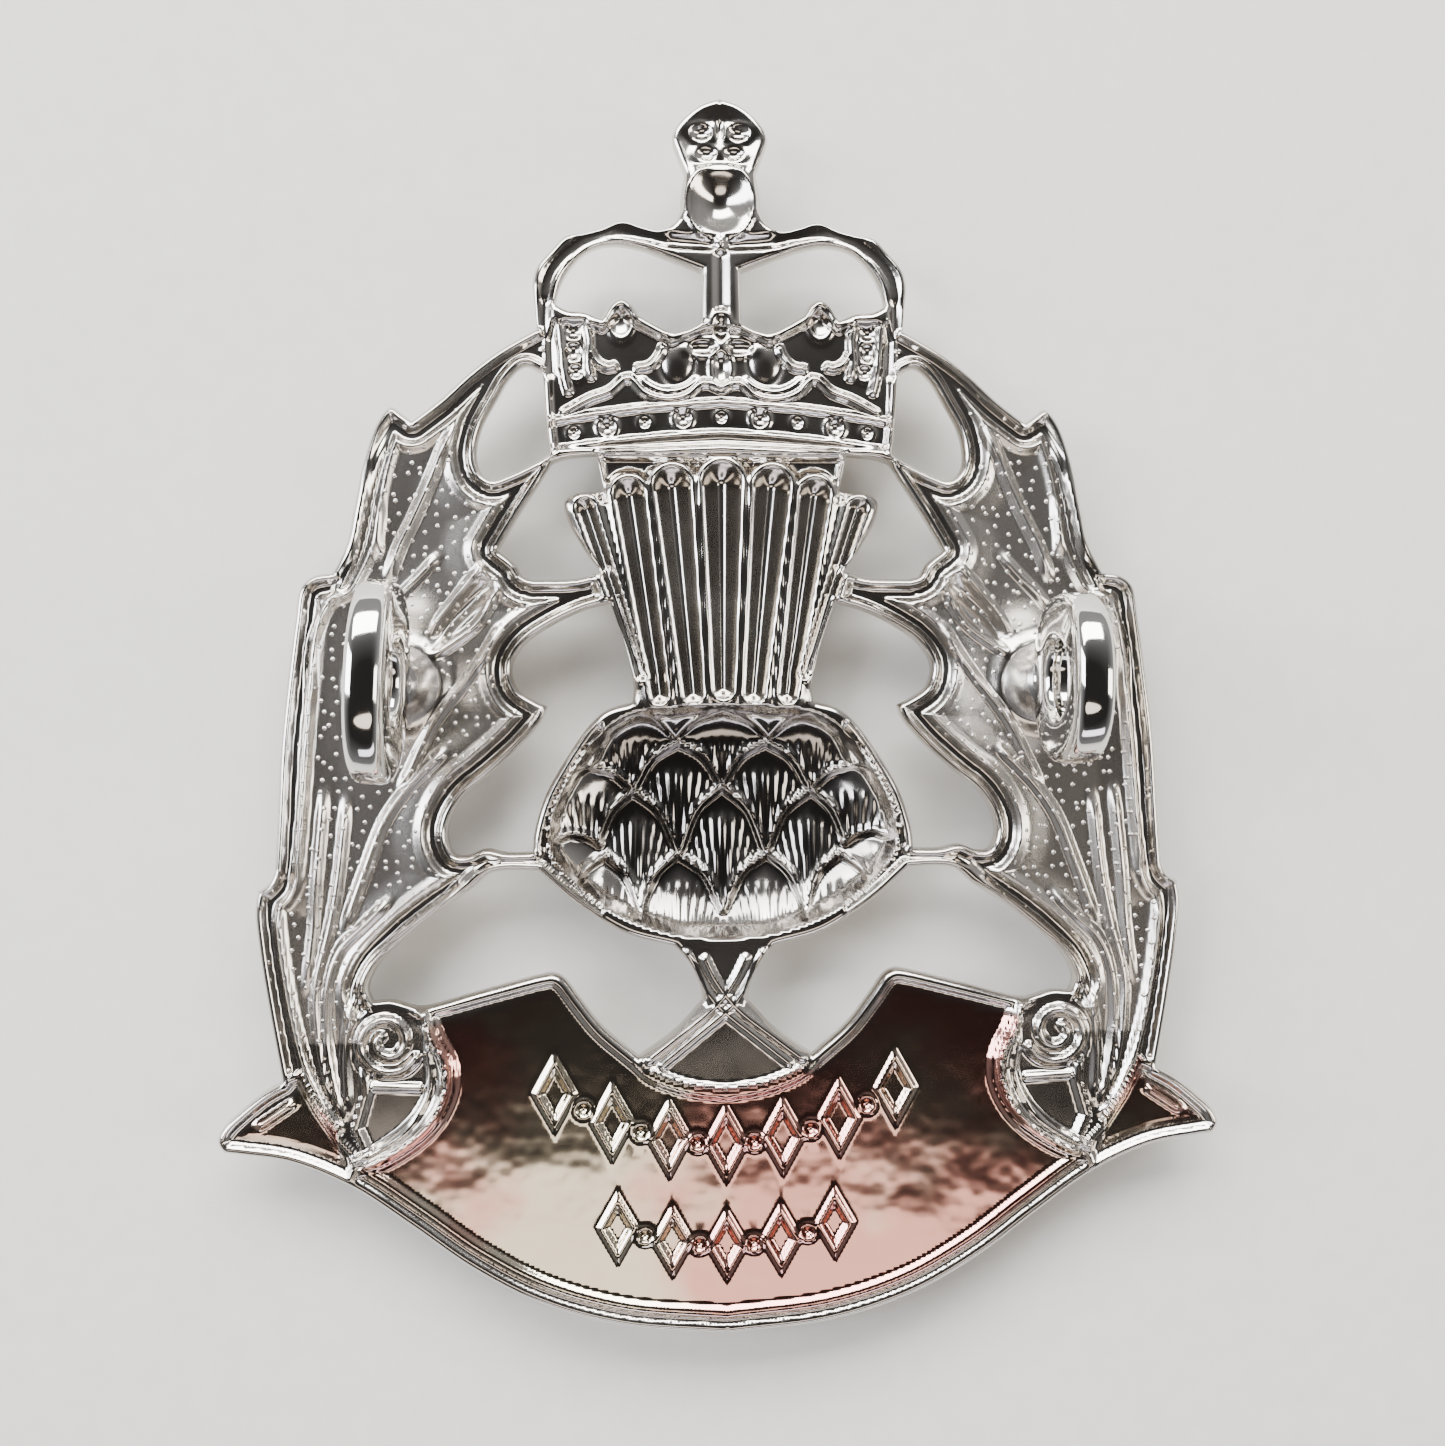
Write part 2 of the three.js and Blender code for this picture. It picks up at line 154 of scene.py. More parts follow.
# The right half of the outer edge, then the openings, as runs of points that meet at corners.
OUTER = [
    [(0, 25), (0.8, 24.72), (1.65, 24), (1.93, 23.4), (1.75, 22.75), (1.43, 21.95)],
    [(1.43, 21.95), (1.6, 21), (1.63, 20.4), (1.85, 20), (2.45, 19.68), (3.2, 19.82), (3.95, 20.03),
     (4.85, 19.7), (5.6, 19.5)],
    [(5.6, 19.5), (6.25, 19.4), (6.85, 18.8), (7.4, 18.15), (7.58, 17.5), (7.5, 16.6), (7.42, 15.65)],
    [(7.42, 15.65), (8.9, 14.8), (10.1, 13.9), (11.3, 12.8), (12.43, 11.93)],
    [(12.43, 11.93), (12.8, 12.2), (13.25, 12.48), (13.75, 11.95), (14.3, 10.5), (14.75, 8.4),
     (15.05, 7), (15.6, 5.85)],
    [(15.6, 5.85), (16.35, 5.72), (16.85, 5.3), (17.1, 3.9), (17.4, 1.6), (17.68, -1), (17.85, -4),
     (17.98, -6.1)],
    [(17.98, -6.1), (18.2, -6.55), (18.64, -6.85)],
    [(18.64, -6.85), (18.75, -7.6), (18.6, -9.3), (18.25, -11.6), (17.74, -14.47)],
    [(17.74, -14.47), (18.5, -14.9), (19.4, -15.62), (20.05, -16.25), (20.28, -16.8), (20.05, -17.27)],
    [(20.05, -17.27), (19.2, -17.38), (17.4, -17.7), (15.05, -18.72), (12.7, -20.33), (10.3, -22.08),
     (7.6, -23.55), (4.3, -24.55), (0, -25)],
]
ARCH_OPENING = [
    [(0.78, 18.02), (2.05, 18.5), (3.25, 18.92), (4.4, 19.08), (5.35, 18.82), (6.05, 18.15),
     (6.5, 17.35), (6.7, 16.68)],
    [(6.7, 16.68), (6.2, 16.42), (5.5, 16.35), (4.82, 16.08)],
    [(4.82, 16.08), (4.42, 16.7), (4, 16.92), (3.62, 16.7), (3.33, 16.25)],
    [(3.33, 16.25), (2.6, 15.83), (1.95, 15.55), (1.45, 15.66), (0.82, 15.97)],
    [(0.82, 15.97), (0.78, 18.02)],
]
LEAF_TOP_OPENING = [
    [(7.21, 13.9), (7.12, 12.4), (6.95, 10.62)],
    [(6.95, 10.62), (7.7, 10.2), (8.6, 9.78), (9.25, 9.58), (9.68, 9.85), (9.88, 10.5), (9.68, 11.6),
     (9.05, 12.8), (8.5, 13.7), (7.9, 14.17), (7.21, 13.9)],
]
UPPER_OPENING = [
    [(6.87, 10.24), (6.3, 10.45), (5.06, 10.58)],
    [(5.06, 10.58), (4.76, 9.08)],
    [(4.76, 9.08), (5.3, 9.08), (5.95, 9.04), (6.37, 8.7), (6.3, 8.1), (5.6, 6.8), (4.94, 5.88)],
    [(4.94, 5.88), (5.8, 5.62), (7.6, 5.56)],
    [(7.6, 5.56), (8.05, 5.7), (8.3, 6.15), (9.03, 6.75)],
    [(9.03, 6.75), (8.2, 8.15), (7.4, 9.4), (6.87, 10.24)],
]
MIDDLE_OPENING = [
    [(4.55, 4.6), (5.6, 4.33), (6.9, 3.72), (8, 2.95), (8.5, 2.05), (8.3, 1.2), (7.7, 0.75),
     (7.1, 0.45)],
    [(7.1, 0.45), (7.3, -0.1), (8.2, -1.15), (9.5, -2.32), (10.4, -3.05), (11, -4), (11.12, -4.8),
     (10.85, -5.45), (10.3, -5.5), (9.6, -5.25), (8.8, -5.4), (7.72, -5.4)],
    [(7.72, -5.4), (7.64, -4.6), (7.2, -3.15), (6.3, -1.55), (5.4, -0.3), (4.7, 0.3), (3.68, 0.6)],
    [(3.68, 0.6), (3.62, 1.1), (3.85, 2.5), (4.55, 4.6)],
]
LOWER_OPENING = [
    [(7.5, -6.16), (8.8, -6.12), (9.45, -6.25), (10.2, -6.88), (11.6, -7.8), (13, -8.93), (14, -10),
     (14.32, -10.85), (14.15, -11.34)],
    [(14.15, -11.34), (13.4, -11.3), (12.75, -11.48), (12.2, -11.57), (9.6, -10.9), (7.3, -10.33),
     (6.9, -10.3), (6.5, -10.5), (5.86, -11.35), (4.95, -12.5), (3.54, -13.73)],
    [(3.54, -13.73), (2.1, -12.72), (0.92, -11.5)],
    [(0.92, -11.5), (1, -10.95), (1.4, -10), (2.02, -9.28)],
    [(2.02, -9.28), (3.83, -8.8), (5.03, -8.15), (6.3, -7.25), (7.5, -6.16)],
]
PIERCINGS = (ARCH_OPENING, LEAF_TOP_OPENING, UPPER_OPENING, MIDDLE_OPENING, LOWER_OPENING)


def smooth_line(points, spacing):
    """A centripetal Catmull-Rom curve through the points, at even steps of about the spacing."""
    p = np.array(points, float)
    p = np.vstack([2 * p[0] - p[1], p, 2 * p[-1] - p[-2]])
    span = np.linalg.norm(np.diff(p, axis=0), axis=1)[:, None] ** 0.5
    slope = np.diff(p, axis=0) / span
    wide = (p[2:] - p[:-2]) / (span[1:] + span[:-1])
    tangent = slope[:-1] - wide + slope[1:]
    start, end = p[1:-2], p[2:-1]
    leave, arrive = tangent[:-1] * span[1:-1], tangent[1:] * span[1:-1]
    t = np.linspace(0, 1, 17)[:-1, None, None]
    curve = ((2 * t**3 - 3 * t**2 + 1) * start + (t**3 - 2 * t**2 + t) * leave
             + (3 * t**2 - 2 * t**3) * end + (t**3 - t**2) * arrive)
    curve = np.vstack([curve.transpose(1, 0, 2).reshape(-1, 2), p[-2]])
    run = np.concatenate([[0], np.cumsum(np.linalg.norm(np.diff(curve, axis=0), axis=1))])
    even = np.linspace(0, run[-1], max(2, round(run[-1] / spacing) + 1))
    return np.column_stack([np.interp(even, run, curve[:, 0]), np.interp(even, run, curve[:, 1])])


def outline(runs, spacing):
    """Smooth runs joined at their corners; the last point is the first one again on a closed loop."""
    lines = [smooth_line(run, spacing) for run in runs]
    return np.vstack([line[:-1] for line in lines] + [lines[-1][-1:]])


def away(x, y, path):
    """Each point's distance to a broken line, and the length along the line to its nearest place."""
    step = np.diff(path, axis=0)
    length = np.hypot(step[:, 0], step[:, 1])
    begin = np.concatenate([[0], np.cumsum(length)])
    gap = np.full(x.shape, np.inf)
    along = np.zeros(x.shape)
    for k in range(len(step)):
        px, py = x - path[k, 0], y - path[k, 1]
        t = np.clip((px * step[k, 0] + py * step[k, 1]) / length[k] ** 2, 0, 1)
        new = np.hypot(px - t * step[k, 0], py - t * step[k, 1])
        near = new < gap
        gap[near] = new[near]
        along[near] = begin[k] + t[near] * length[k]
    return gap, along


def within(x, y, path, margin):
    """The points in a path's upright box, widened by a margin."""
    low, high = path.min(0) - margin, path.max(0) + margin
    return np.flatnonzero((x > low[0]) & (x < high[0]) & (y > low[1]) & (y < high[1]))


def edge_gap(x, y, lines, limit):
    """Each point's distance to the nearest of the lines, or the limit if they are further off."""
    gap = np.full(x.shape, float(limit))
    stretch = 16
    for line in lines:
        for k in range(0, len(line) - 1, stretch):
            part = line[k:k + stretch + 1]
            near = within(x, y, part, limit)
            gap[near] = np.minimum(gap[near], away(x[near], y[near], part)[0])
    return gap


def encloses(x, y, loop):
    """Whether each point is in a loop: a ray along +X crosses it an odd number of times."""
    odd = np.zeros(x.shape, bool)
    for (ax, ay), (bx, by) in zip(loop, np.roll(loop, -1, axis=0)):
        if ay != by:
            odd ^= ((ay > y) != (by > y)) & (x < (bx - ax) * (y - ay) / (by - ay) + ax)
    return odd


def ease(t):
    """0 below 0, 1 above 1, and 3t^2 - 2t^3 between."""
    t = np.clip(t, 0, 1)
    return t * t * (3 - 2 * t)


def line_relief(x, y, lines):
    """Round-backed ridges: (1 - (distance / half width)^2)^2 times the lift, faded at both ends.
    Where two meet, the higher one counts. Each line is (path, half width, lift, length of fade)."""
    height = np.zeros(x.shape)
    for path, half, lift, fade in lines:
        path = smooth_line(path, 0.25)
        near = within(x, y, path, half)
        gap, along = away(x[near], y[near], path)
        total = np.linalg.norm(np.diff(path, axis=0), axis=1).sum()
        end = ease(np.minimum(along, total - along) / fade) if fade else 1.0
        rise = lift * np.clip(1 - (gap / half) ** 2, 0, 1) ** 2 * end
        height[near] = np.maximum(height[near], rise)
    return height


LIP_MOST = 0.1  # height that a dimple's lip may reach
LIP_HALF = 0.13  # half width of that lip


def dimples(x, y, spots):
    """Oval hollows, (1 - q^2)^1.5 times the depth, where q is 1 at the rim, each with a raised lip.
    Each spot is (x, y, half width, half height, depth), and a negative depth makes a boss."""
    height = np.zeros(x.shape)
    for sx, sy, a, b, depth in spots:
        q = np.hypot((x - sx) / a, (y - sy) / b)
        lip = min(0.5 * depth, LIP_MOST) * np.exp(-(((q - 1.15) * min(a, b) / LIP_HALF) ** 2))
        height += lip - depth * np.clip(1 - q**2, 0, 1) ** 1.5
    return height


# The thistle's bulb: a bowl whose floor carries overlapping scales.
BULB_RIM = [(0, -9.05), (2.3, -8.75), (4.3, -8.0), (6, -6.8), (7.1, -5.3), (7.05, -4.2), (6.4, -2.6),
            (5.25, -0.9), (3.9, 0.1), (2, 0.4), (0, 0.5)]
BULB_STEPS = ((0.54, 0.52), (0.62, 1.7), (0.54, 4.5))  # the rim, the wall and the floor: drop, width
SCALE_ROLL = 0.35  # width of the slope from a scale's edge down to its ground
SCALE_RISE = 1.4  # length over which the ground comes up again below its head
SCALE_RIDGE = (0.07, 0.3)  # height and half width of the ridge along a scale's edge
SCALE_STEP = 0.22  # how far a scale's head lies under the tail of the one above it
RAY_PITCH = 0.5  # between the fine raised rays on a scale, which fan out from a point below it
RAY_CENTRE = 7.0  # how far below the scale's head that point is
RAY_LIFT = 0.05
# Each scale: its left foot, its head, and its right foot; later rows lie over earlier ones.
SCALES = [
    [(-1.95, -0.75), (0, 0.3), (1.95, -0.75)], [(1.9, -0.75), (3.6, 0.25), (5.3, -1.7)],
    [(-0.02, -2.7), (1.8, -0.95), (3.7, -2.9)], [(3.7, -2.9), (5.45, -1.9), (7.2, -3.4)],
    [(-1.8, -5.5), (0, -2.8), (1.8, -5.5)], [(1.8, -5.5), (3.71, -2.95), (5.3, -5.4)],
    [(5.0, -5.2), (6.3, -4.7), (7.6, -5.6)],
    [(0, -7.9), (1.85, -5.6), (3.5, -8.0)], [(3.3, -8.0), (4.85, -5.6), (6.4, -7.4)],
]


def bulb_relief(x, y):
    """A bowl in three quarter-sine steps, a step at each scale's head, and rays on the scale."""
    rim = smooth_line(BULB_RIM, 0.2)
    inside = encloses(x, y, rim)
    gap = edge_gap(x, y, [rim], 4.5)
    bowl = sum(-drop * np.sin(np.pi / 2 * np.clip(gap / width, 0, 1)) for drop, width in BULB_STEPS)
    step = np.zeros(x.shape)
    ray = np.zeros(x.shape)
    ridge = np.zeros(x.shape)
    for left, head, right in SCALES:
        side = [(head[0] + 0.6 * (foot[0] - head[0]), head[1] + 0.36 * (foot[1] - head[1]))
                for foot in (left, right)]
        arch = outline([[left, side[0], head], [head, side[1], right]], 0.15)
        under = encloses(x, y, np.vstack([arch, [(right[0], -12), (left[0], -12)]]))
        from_arch, _ = away(x, y, arch)
        into = from_arch[under]
        step[under] = -SCALE_STEP * ease(into / SCALE_ROLL) * (1 - ease((into - 0.3) / SCALE_RISE))
        angle = np.arctan2(x[under] - head[0], y[under] - head[1] + RAY_CENTRE)
        ray[under] = (RAY_LIFT * (0.5 + 0.5 * np.cos(angle * RAY_CENTRE * 2 * np.pi / RAY_PITCH)) ** 2
                      * ease((head[1] - 1.1 - y[under]) / 0.5) * ease((into - 0.3) / 0.3))
        ridge[under] = 0
        own_ridge = SCALE_RIDGE[0] * np.clip(1 - (from_arch / SCALE_RIDGE[1]) ** 2, 0, 1) ** 2
        ridge = np.maximum(ridge, own_ridge)
    blend = ease(gap / 0.5)
    return inside, bowl + blend * (step + ray + ridge)


# The thistle's head: flutes that fan out upwards, each with a round top, then a petal at the side.
# Each: its top, its bottom, and its half widths there.
FLUTES = [
    ((0, 9.45), (0, 1.15), 0.88, 0.5),
    ((2.02, 9.3), (1.24, 0.95), 0.82, 0.5),
    ((3.75, 8.95), (2.6, 0.9), 0.7, 0.44),
    ((5.5, 8.4), (3.3, 1.7), 0.44, 0.26),
]
FLUTE_DEPTH = 0.72
FLUTE_LIP = (0.15, 0.27)  # height and half width of the lip round each flute
WEB_DEPTH = 0.45  # of the panel between the flutes' tops and the crown


def head_relief(x, y):
    """Half-round troughs, q = distance from the middle line / half width there, each with a thin lip.
    Also how far each point lies outside the nearest trough."""
    trough = np.zeros(x.shape)
    lip = np.zeros(x.shape)
    outside = np.full(x.shape, np.inf)
    for top, bottom, wide, narrow in FLUTES:
        for side in (1, -1) if top[0] else (1,):
            path = np.array([(side * bottom[0], bottom[1]), (side * top[0], top[1])], float)
            gap, along = away(x, y, path)
            share = along / np.linalg.norm(path[1] - path[0])
            half = narrow + (wide - narrow) * share
            q = gap / half
            depth = FLUTE_DEPTH * half / 0.8
            trough = np.minimum(trough, -depth * np.clip(1 - q**2, 0, 1) ** 1.5)
            outside = np.minimum(outside, gap - half)
            lip = np.maximum(lip, FLUTE_LIP[0] * np.exp(-(((gap - half) / FLUTE_LIP[1]) ** 2)))
    return trough + lip, outside


# The leaves' veins, each with its half width, its height and how far its ends fade.
VEINS = [
    ([(13.26, 11.72), (14.06, 9.53), (14.8, 6.34), (16.35, 3.16), (16.49, 0.77), (16.71, -2.42),
      (17.04, -5.6), (17.33, -7.19)], 0.3, 0.22, 1.5),
    ([(13.79, 9.13), (13.68, 8.33), (13.76, 7.14), (13.69, 6.14)], 0.3, 0.14, 1.0),
    ([(10.56, 11.93), (10.97, 11.25), (11.69, 9.53), (12.41, 7.93), (12.9, 6.94), (13.5, 5.3)],
     0.35, 0.26, 1.2),
    ([(11.23, 6.74), (12.11, 5.74), (12.91, 4.94), (13.39, 4.34)], 0.3, 0.14, 0.8),
    ([(9.41, 6.33), (10.45, 5.14), (11.33, 3.94), (11.94, 2.82)], 0.3, 0.2, 1.0),
    ([(8.94, 5.53), (9.74, 3.93), (10.94, 2.94), (12.34, 2.14)], 0.3, 0.2, 1.0),
    ([(8.83, 3.93), (9.35, 2.93), (10.16, 1.73), (11.56, -0.06), (12.56, -2.05), (13.04, -3.05)],
     0.3, 0.22, 1.0),
    ([(10.97, -1.06), (12.57, -2.65), (13.57, -4.04), (14.37, -6.03), (15.29, -8.61)], 0.32, 0.24, 1.0),
    ([(13.19, -7.04), (14.38, -8.22), (15.38, -9.21), (15.86, -10.6), (15.95, -12.79), (15.75, -14.2),
      (15.3, -16.3)], 0.3, 0.23, 1.0),
    ([(15.06, -2.83), (15.44, -6.41), (15.76, -8.2), (16.33, -10.59), (16.31, -12.38), (16.1, -13.9),
      (15.55, -15.9)], 0.3, 0.24, 1.5),
    ([(15.92, -2.42), (16.3, -6.4), (16.48, -8.79), (16.77, -11.18)], 0.3, 0.19, 1.5),
    ([(17.8, -7.38), (17.81, -8.38), (17.36, -11.57), (16.59, -14.17), (16.01, -15.58),
      (15.23, -16.59)], 0.3, 0.23, 0.8),
    ([(9.61, -5.68), (11.41, -7.46), (13.01, -8.84), (14.2, -9.82), (14.92, -11.61), (15.21, -13.6),
      (15.1, -15.9)], 0.3, 0.19, 0.8),
]
# A sunk fold in the leaf, written as the veins are.
FOLD = [([(9.06, 5.73), (10.14, 4.73), (11.14, 3.74), (11.94, 2.74)], 0.5, 0.3, 1.0)]
VALLEY_DEPTH = 0.3  # the valley that runs round inside a leaf's rim
TERRACE_DEPTH = 0.14  # the stippled ground inside the valley
SAG_DEPTH = 0.1  # how much further that ground sinks towards its middle
SEAT = (13.05, 1.35)  # where the lug stands
SEAT_FLAT = 1.5  # radius round it that is left flat
SEAT_PLAIN = 1.9  # radius round it that has no stipple


def leaf_relief(x, y, gap):
    """A valley inside the rim, a low ridge, then a ground that dips gently between the veins."""
    ground = (-VALLEY_DEPTH * ease((gap - 0.2) / 0.3) * ease((1.05 - gap) / 0.35)
              - TERRACE_DEPTH * ease((gap - 0.95) / 0.45) - SAG_DEPTH * ease((gap - 1.2) / 1.2))
    veins = line_relief(x, y, VEINS)
    fold = line_relief(x, y, FOLD)
    seat = ease((np.hypot(x - SEAT[0], y - SEAT[1]) - SEAT_FLAT) / 0.9)
    return (ground + veins - fold) * seat


# The scroll: a flat ground inside a stepped border. Its outline is its upper edge, the curl at its
# end, the lower edge of the badge, and the bead where the stems meet it.
SCROLL_TOP = [(3.54, -13.73), (4.95, -12.5), (5.86, -11.35), (6.5, -10.5), (6.9, -10.3), (7.3, -10.33),
              (9.6, -10.9), (12.2, -11.57)]
CURL_LOOP = [(12.2, -11.57), (11.77, -12.82), (11.33, -13.67), (11.18, -14.47), (11.35, -15.27),
             (11.79, -16.06), (12.35, -16.65), (13.06, -17.16), (13.66, -17.5), (14.6, -17.9)]
STEM_BEAD = [(0, -15.05), (1.6, -14.8), (2.9, -14.3), (3.54, -13.73)]
# The border's height at each distance from the edge.
BORDER = [(0, 0), (0.3, 0), (0.52, -0.12), (0.74, -0.02), (0.94, -0.02), (1.18, -0.2), (1.6, -0.2)]
BEVEL_DROP = 0.2  # of the ground below the upper edges
CURL = (13.55, -12.91)  # middle of the spiral
TAIL_DROP = 0.24  # of the turned-back tail's ground
TAIL_LOOP = np.array([(17.74, -14.3), (16.9, -14.0), (16.15, -15.5), (15.35, -16.7), (14.5, -17.6),
                      (15.05, -18.9), (19.2, -17.5), (20.4, -17.2), (20.4, -16.5), (19.4, -15.5)])
CURL_GROUND = np.array([*CURL_LOOP[1:], (14.6, -17.3), (15.0, -16.4), (14.6, -15.0), (14.7, -13.6),
                        (13.6, -11.9)])

lower_edge = smooth_line(OUTER[-1], 0.3)
scroll_loop = np.vstack([outline([STEM_BEAD, SCROLL_TOP, CURL_LOOP], 0.3),
                         lower_edge[lower_edge[:, 0] < 15.0]])


def scroll_relief(x, y):
    """The border's profile along the lower edge and a single bevel along the others."""
    inside = encloses(x, y, scroll_loop)
    stations, levels = smooth_line(BORDER, 0.02).T
    stepped = np.interp(edge_gap(x, y, [lower_edge], 2.0), stations, levels)
    sides = [smooth_line(line, 0.3) for line in (SCROLL_TOP, CURL_LOOP, STEM_BEAD)]
    plain = -BEVEL_DROP * ease((edge_gap(x, y, sides, 1.2) - 0.3) / 0.3)
    return inside, np.maximum(stepped, plain)


def end_relief(x, y, gap):
    """The scroll's turned-back tail and the ground inside its curl: flat, inside a plain bevel."""
    flat = np.zeros(x.shape, bool)
    height = np.zeros(x.shape)
    for loop in (TAIL_LOOP, CURL_GROUND):
        inside = encloses(x, y, loop)
        inset = np.minimum(edge_gap(x, y, [loop], 2.0), gap)
        flat |= inside
        height[inside] = -TAIL_DROP * ease((inset[inside] - 0.2) / 0.35)
    return flat, height


# Where an inscription would be, two rows of plain lozenges with pearls between them.
LOZENGE_ROWS = [  # level at the middle, rise towards the ends, pitch, number, half size, pearl
    (-17.3, 0.045, 2.3, 7, (0.72, 1.3), 0.3),
    (-21.4, 0.04, 2.2, 5, (0.66, 1.15), 0.28),
]
RIM_LIFT = 0.14  # of the outline round a lozenge
RIM_HALF = 0.15  # half width of that outline
LOZENGE_SINK = 0.1  # of the ground inside it
PEARL_DEPTH = 0.16


def lozenge_relief(x, y):
    """Sunk lozenges, |dx| / a + |dy| / b < 1, each with a raised outline, and round pearls. The inset
    is the distance to a lozenge's nearest side."""
    height = np.zeros(x.shape)
    for level, rise, pitch, count, (a, b), pearl in LOZENGE_ROWS:
        for i in range(count):
            cx = (i - (count - 1) / 2) * pitch
            cy = level + rise * cx * cx
            inset = (1 - np.abs(x - cx) / a - np.abs(y - cy) / b) * a * b / np.hypot(a, b)
            height += RIM_LIFT * np.exp(-((inset / RIM_HALF) ** 2))
            height -= LOZENGE_SINK * ease((inset - 0.1) / 0.2)
            if i < count - 1:
                px = cx + pitch / 2
                height += dimples(x, y, [(px, level + rise * px * px, pearl, pearl, PEARL_DEPTH)])
    return height


# The crown: lines, pearls, fleurs and a four-petalled flower struck into its band and arches.
CROWN_LINES = [  # path, half width, lift, fade at the ends
    ([(0, 12.74), (2.89, 12.52), (4.9, 12.26), (6.9, 11.93)], 0.24, 0.18, 0),
    ([(0, 11.5), (2.49, 11.34), (5.71, 10.97), (6.87, 10.77)], 0.22, 0.13, 0),
    ([(0, 10.78), (2.9, 10.64), (4.91, 10.46), (6.87, 10.21)], 0.36, 0.24, 0),
    ([(0, 13.3), (0.75, 13.5), (1.4, 13), (2.3, 12.85), (3.1, 13.1), (3.77, 13.7), (4.5, 13.15),
      (5.3, 12.85), (6.3, 12.3)], 0.28, 0.2, 0),
    ([(0.75, 13.75), (1.5, 13.3), (2.3, 13.15), (3.1, 13.5), (3.4, 13.9)], 0.26, 0.12, 0.4),
    ([(2.3, 15.2), (2.5, 14.6), (2.95, 14.15), (3.6, 14.1)], 0.26, 0.2, 0.3),
    ([(5.35, 14.9), (5.0, 14.3), (4.45, 14.1), (4.15, 14.3)], 0.26, 0.22, 0.2),
    ([(5.45, 16.0), (5.3, 15.2), (5.35, 14.3), (5.2, 13.5)], 0.26, 0.22, 0.3),
    ([(6.55, 16.1), (6.45, 15), (6.35, 13.9), (6.1, 12.9)], 0.26, 0.2, 0.3),
    ([(1.9, 19.2), (2.9, 19.45), (4.3, 19.55), (5.7, 19.05), (6.85, 17.9), (7.1, 16.6)], 0.26, 0.1, 0.4),
]
CROWN_SPOTS = [  # across, up, half width, half height, depth
    (0.72, 14.95, 0.6, 0.32, 0.12), (-0.72, 14.95, 0.6, 0.32, 0.12), (0, 15.75, 0.34, 0.5, 0.12),
    (0, 14.1, 0.38, 0.68, 0.15), (4.05, 16.0, 0.45, 0.62, 0.13), (5.95, 15.5, 0.3, 0.3, 0.09),
    (5.95, 14.75, 0.32, 0.4, 0.11), (5.85, 13.95, 0.3, 0.3, 0.09), (1.78, 14.45, 0.6, 0.85, -0.1),
    (0, 12.12, 0.24, 0.24, 0.08), (1.56, 12.06, 0.35, 0.35, 0.13), (3.1, 11.91, 0.24, 0.24, 0.08),
    (4.62, 11.7, 0.35, 0.35, 0.13), (5.95, 11.48, 0.24, 0.24, 0.08),
    (0, 20.75, 1.2, 1.35, 0.55), (0.75, 23.6, 0.45, 0.32, 0.12), (-0.75, 23.6, 0.45, 0.32, 0.12),
    (0.55, 22.75, 0.42, 0.28, 0.1), (-0.55, 22.75, 0.42, 0.28, 0.1), (0, 23.7, 0.22, 0.5, 0.1),
]
CROWN_TROUGHS = [  # hollows along the arch and the upright, written as the lines are
    ([(0, 19.1), (1.9, 19.2), (2.9, 19.42), (4.3, 19.55), (5.7, 19.05), (6.85, 17.9), (7.1, 16.6),
      (7.05, 13.5)], 0.42, 0.26, 0.4),
    ([(0, 18.9), (0, 16.3)], 0.42, 0.22, 0.3),
]
BAND = [(0, 10.9), (3, 10.75), (6.8, 10.6), (7.0, 12.4), (7.1, 15.2), (6.9, 16.1), (5.5, 16.05),
        (4.82, 15.75), (4, 16.6), (3.33, 15.95), (2, 15.25), (0.82, 15.7), (0, 15.9)]
PANEL_DEPTH = 0.3  # of the ground inside the band
DISH_DEPTH = 0.22  # of the lobe at the top


def crown_relief(x, y, gap):
    """The sum of raised lines, dimples, the band's sunk panel, troughs and the top's dish, faded out
    at the edges."""
    band = np.array(BAND, float)
    panel = PANEL_DEPTH * (encloses(x, y, band) * ease(edge_gap(x, y, [band], 0.4) / 0.3))
    trough = line_relief(x, y, CROWN_TROUGHS)
    dish = DISH_DEPTH * ease(gap / 0.9) * ease((y - 22) / 0.4)
    lines = line_relief(x, y, CROWN_LINES)
    return (lines + dimples(x, y, CROWN_SPOTS) - panel - trough - dish) * ease(gap / 0.25)


# The crossed stems, then the lines and the small spiral at each end of the scroll.
STEM_EDGES = [
    ([(-1.7, -9.3), (-1.1, -10.5), (-0.35, -11.6), (1.3, -13.0), (2.8, -14.2)], 0.28, 0.16, 0.3),
    ([(-0.95, -9.5), (-0.35, -10.7), (0.5, -11.8), (2.0, -13.0), (3.3, -14)], 0.28, 0.16, 0.3),
    ([(1.7, -9.3), (1.1, -10.5), (0.35, -11.6), (-1.3, -13.0), (-2.8, -14.2)], 0.28, 0.16, 0.3),
    ([(0.95, -9.5), (0.35, -10.7), (-0.5, -11.8), (-2.0, -13.0), (-3.3, -14)], 0.28, 0.16, 0.3),
    ([(0, -15.05), (1.6, -14.8), (2.9, -14.3)], 0.28, 0.2, 0),
]
CURL_LINES = [
    (CURL_LOOP, 0.28, 0.28, 0.3),
    ([(a + 0.62, b + 0.12) for a, b in CURL_LOOP[1:]], 0.26, 0.2, 0.4),
    ([(12.1, -14.8), (14.3, -14.7)], 0.26, 0.2, 0.2),
    ([(18.9, -16.4), (17.1, -15.2)], 0.28, 0.2, 0.5),
]
SPIRAL_TURN = (-150, 400)  # where it starts and ends, degrees
SPIRAL_RADIUS = (1.3, 0.35)  # at its start and its end


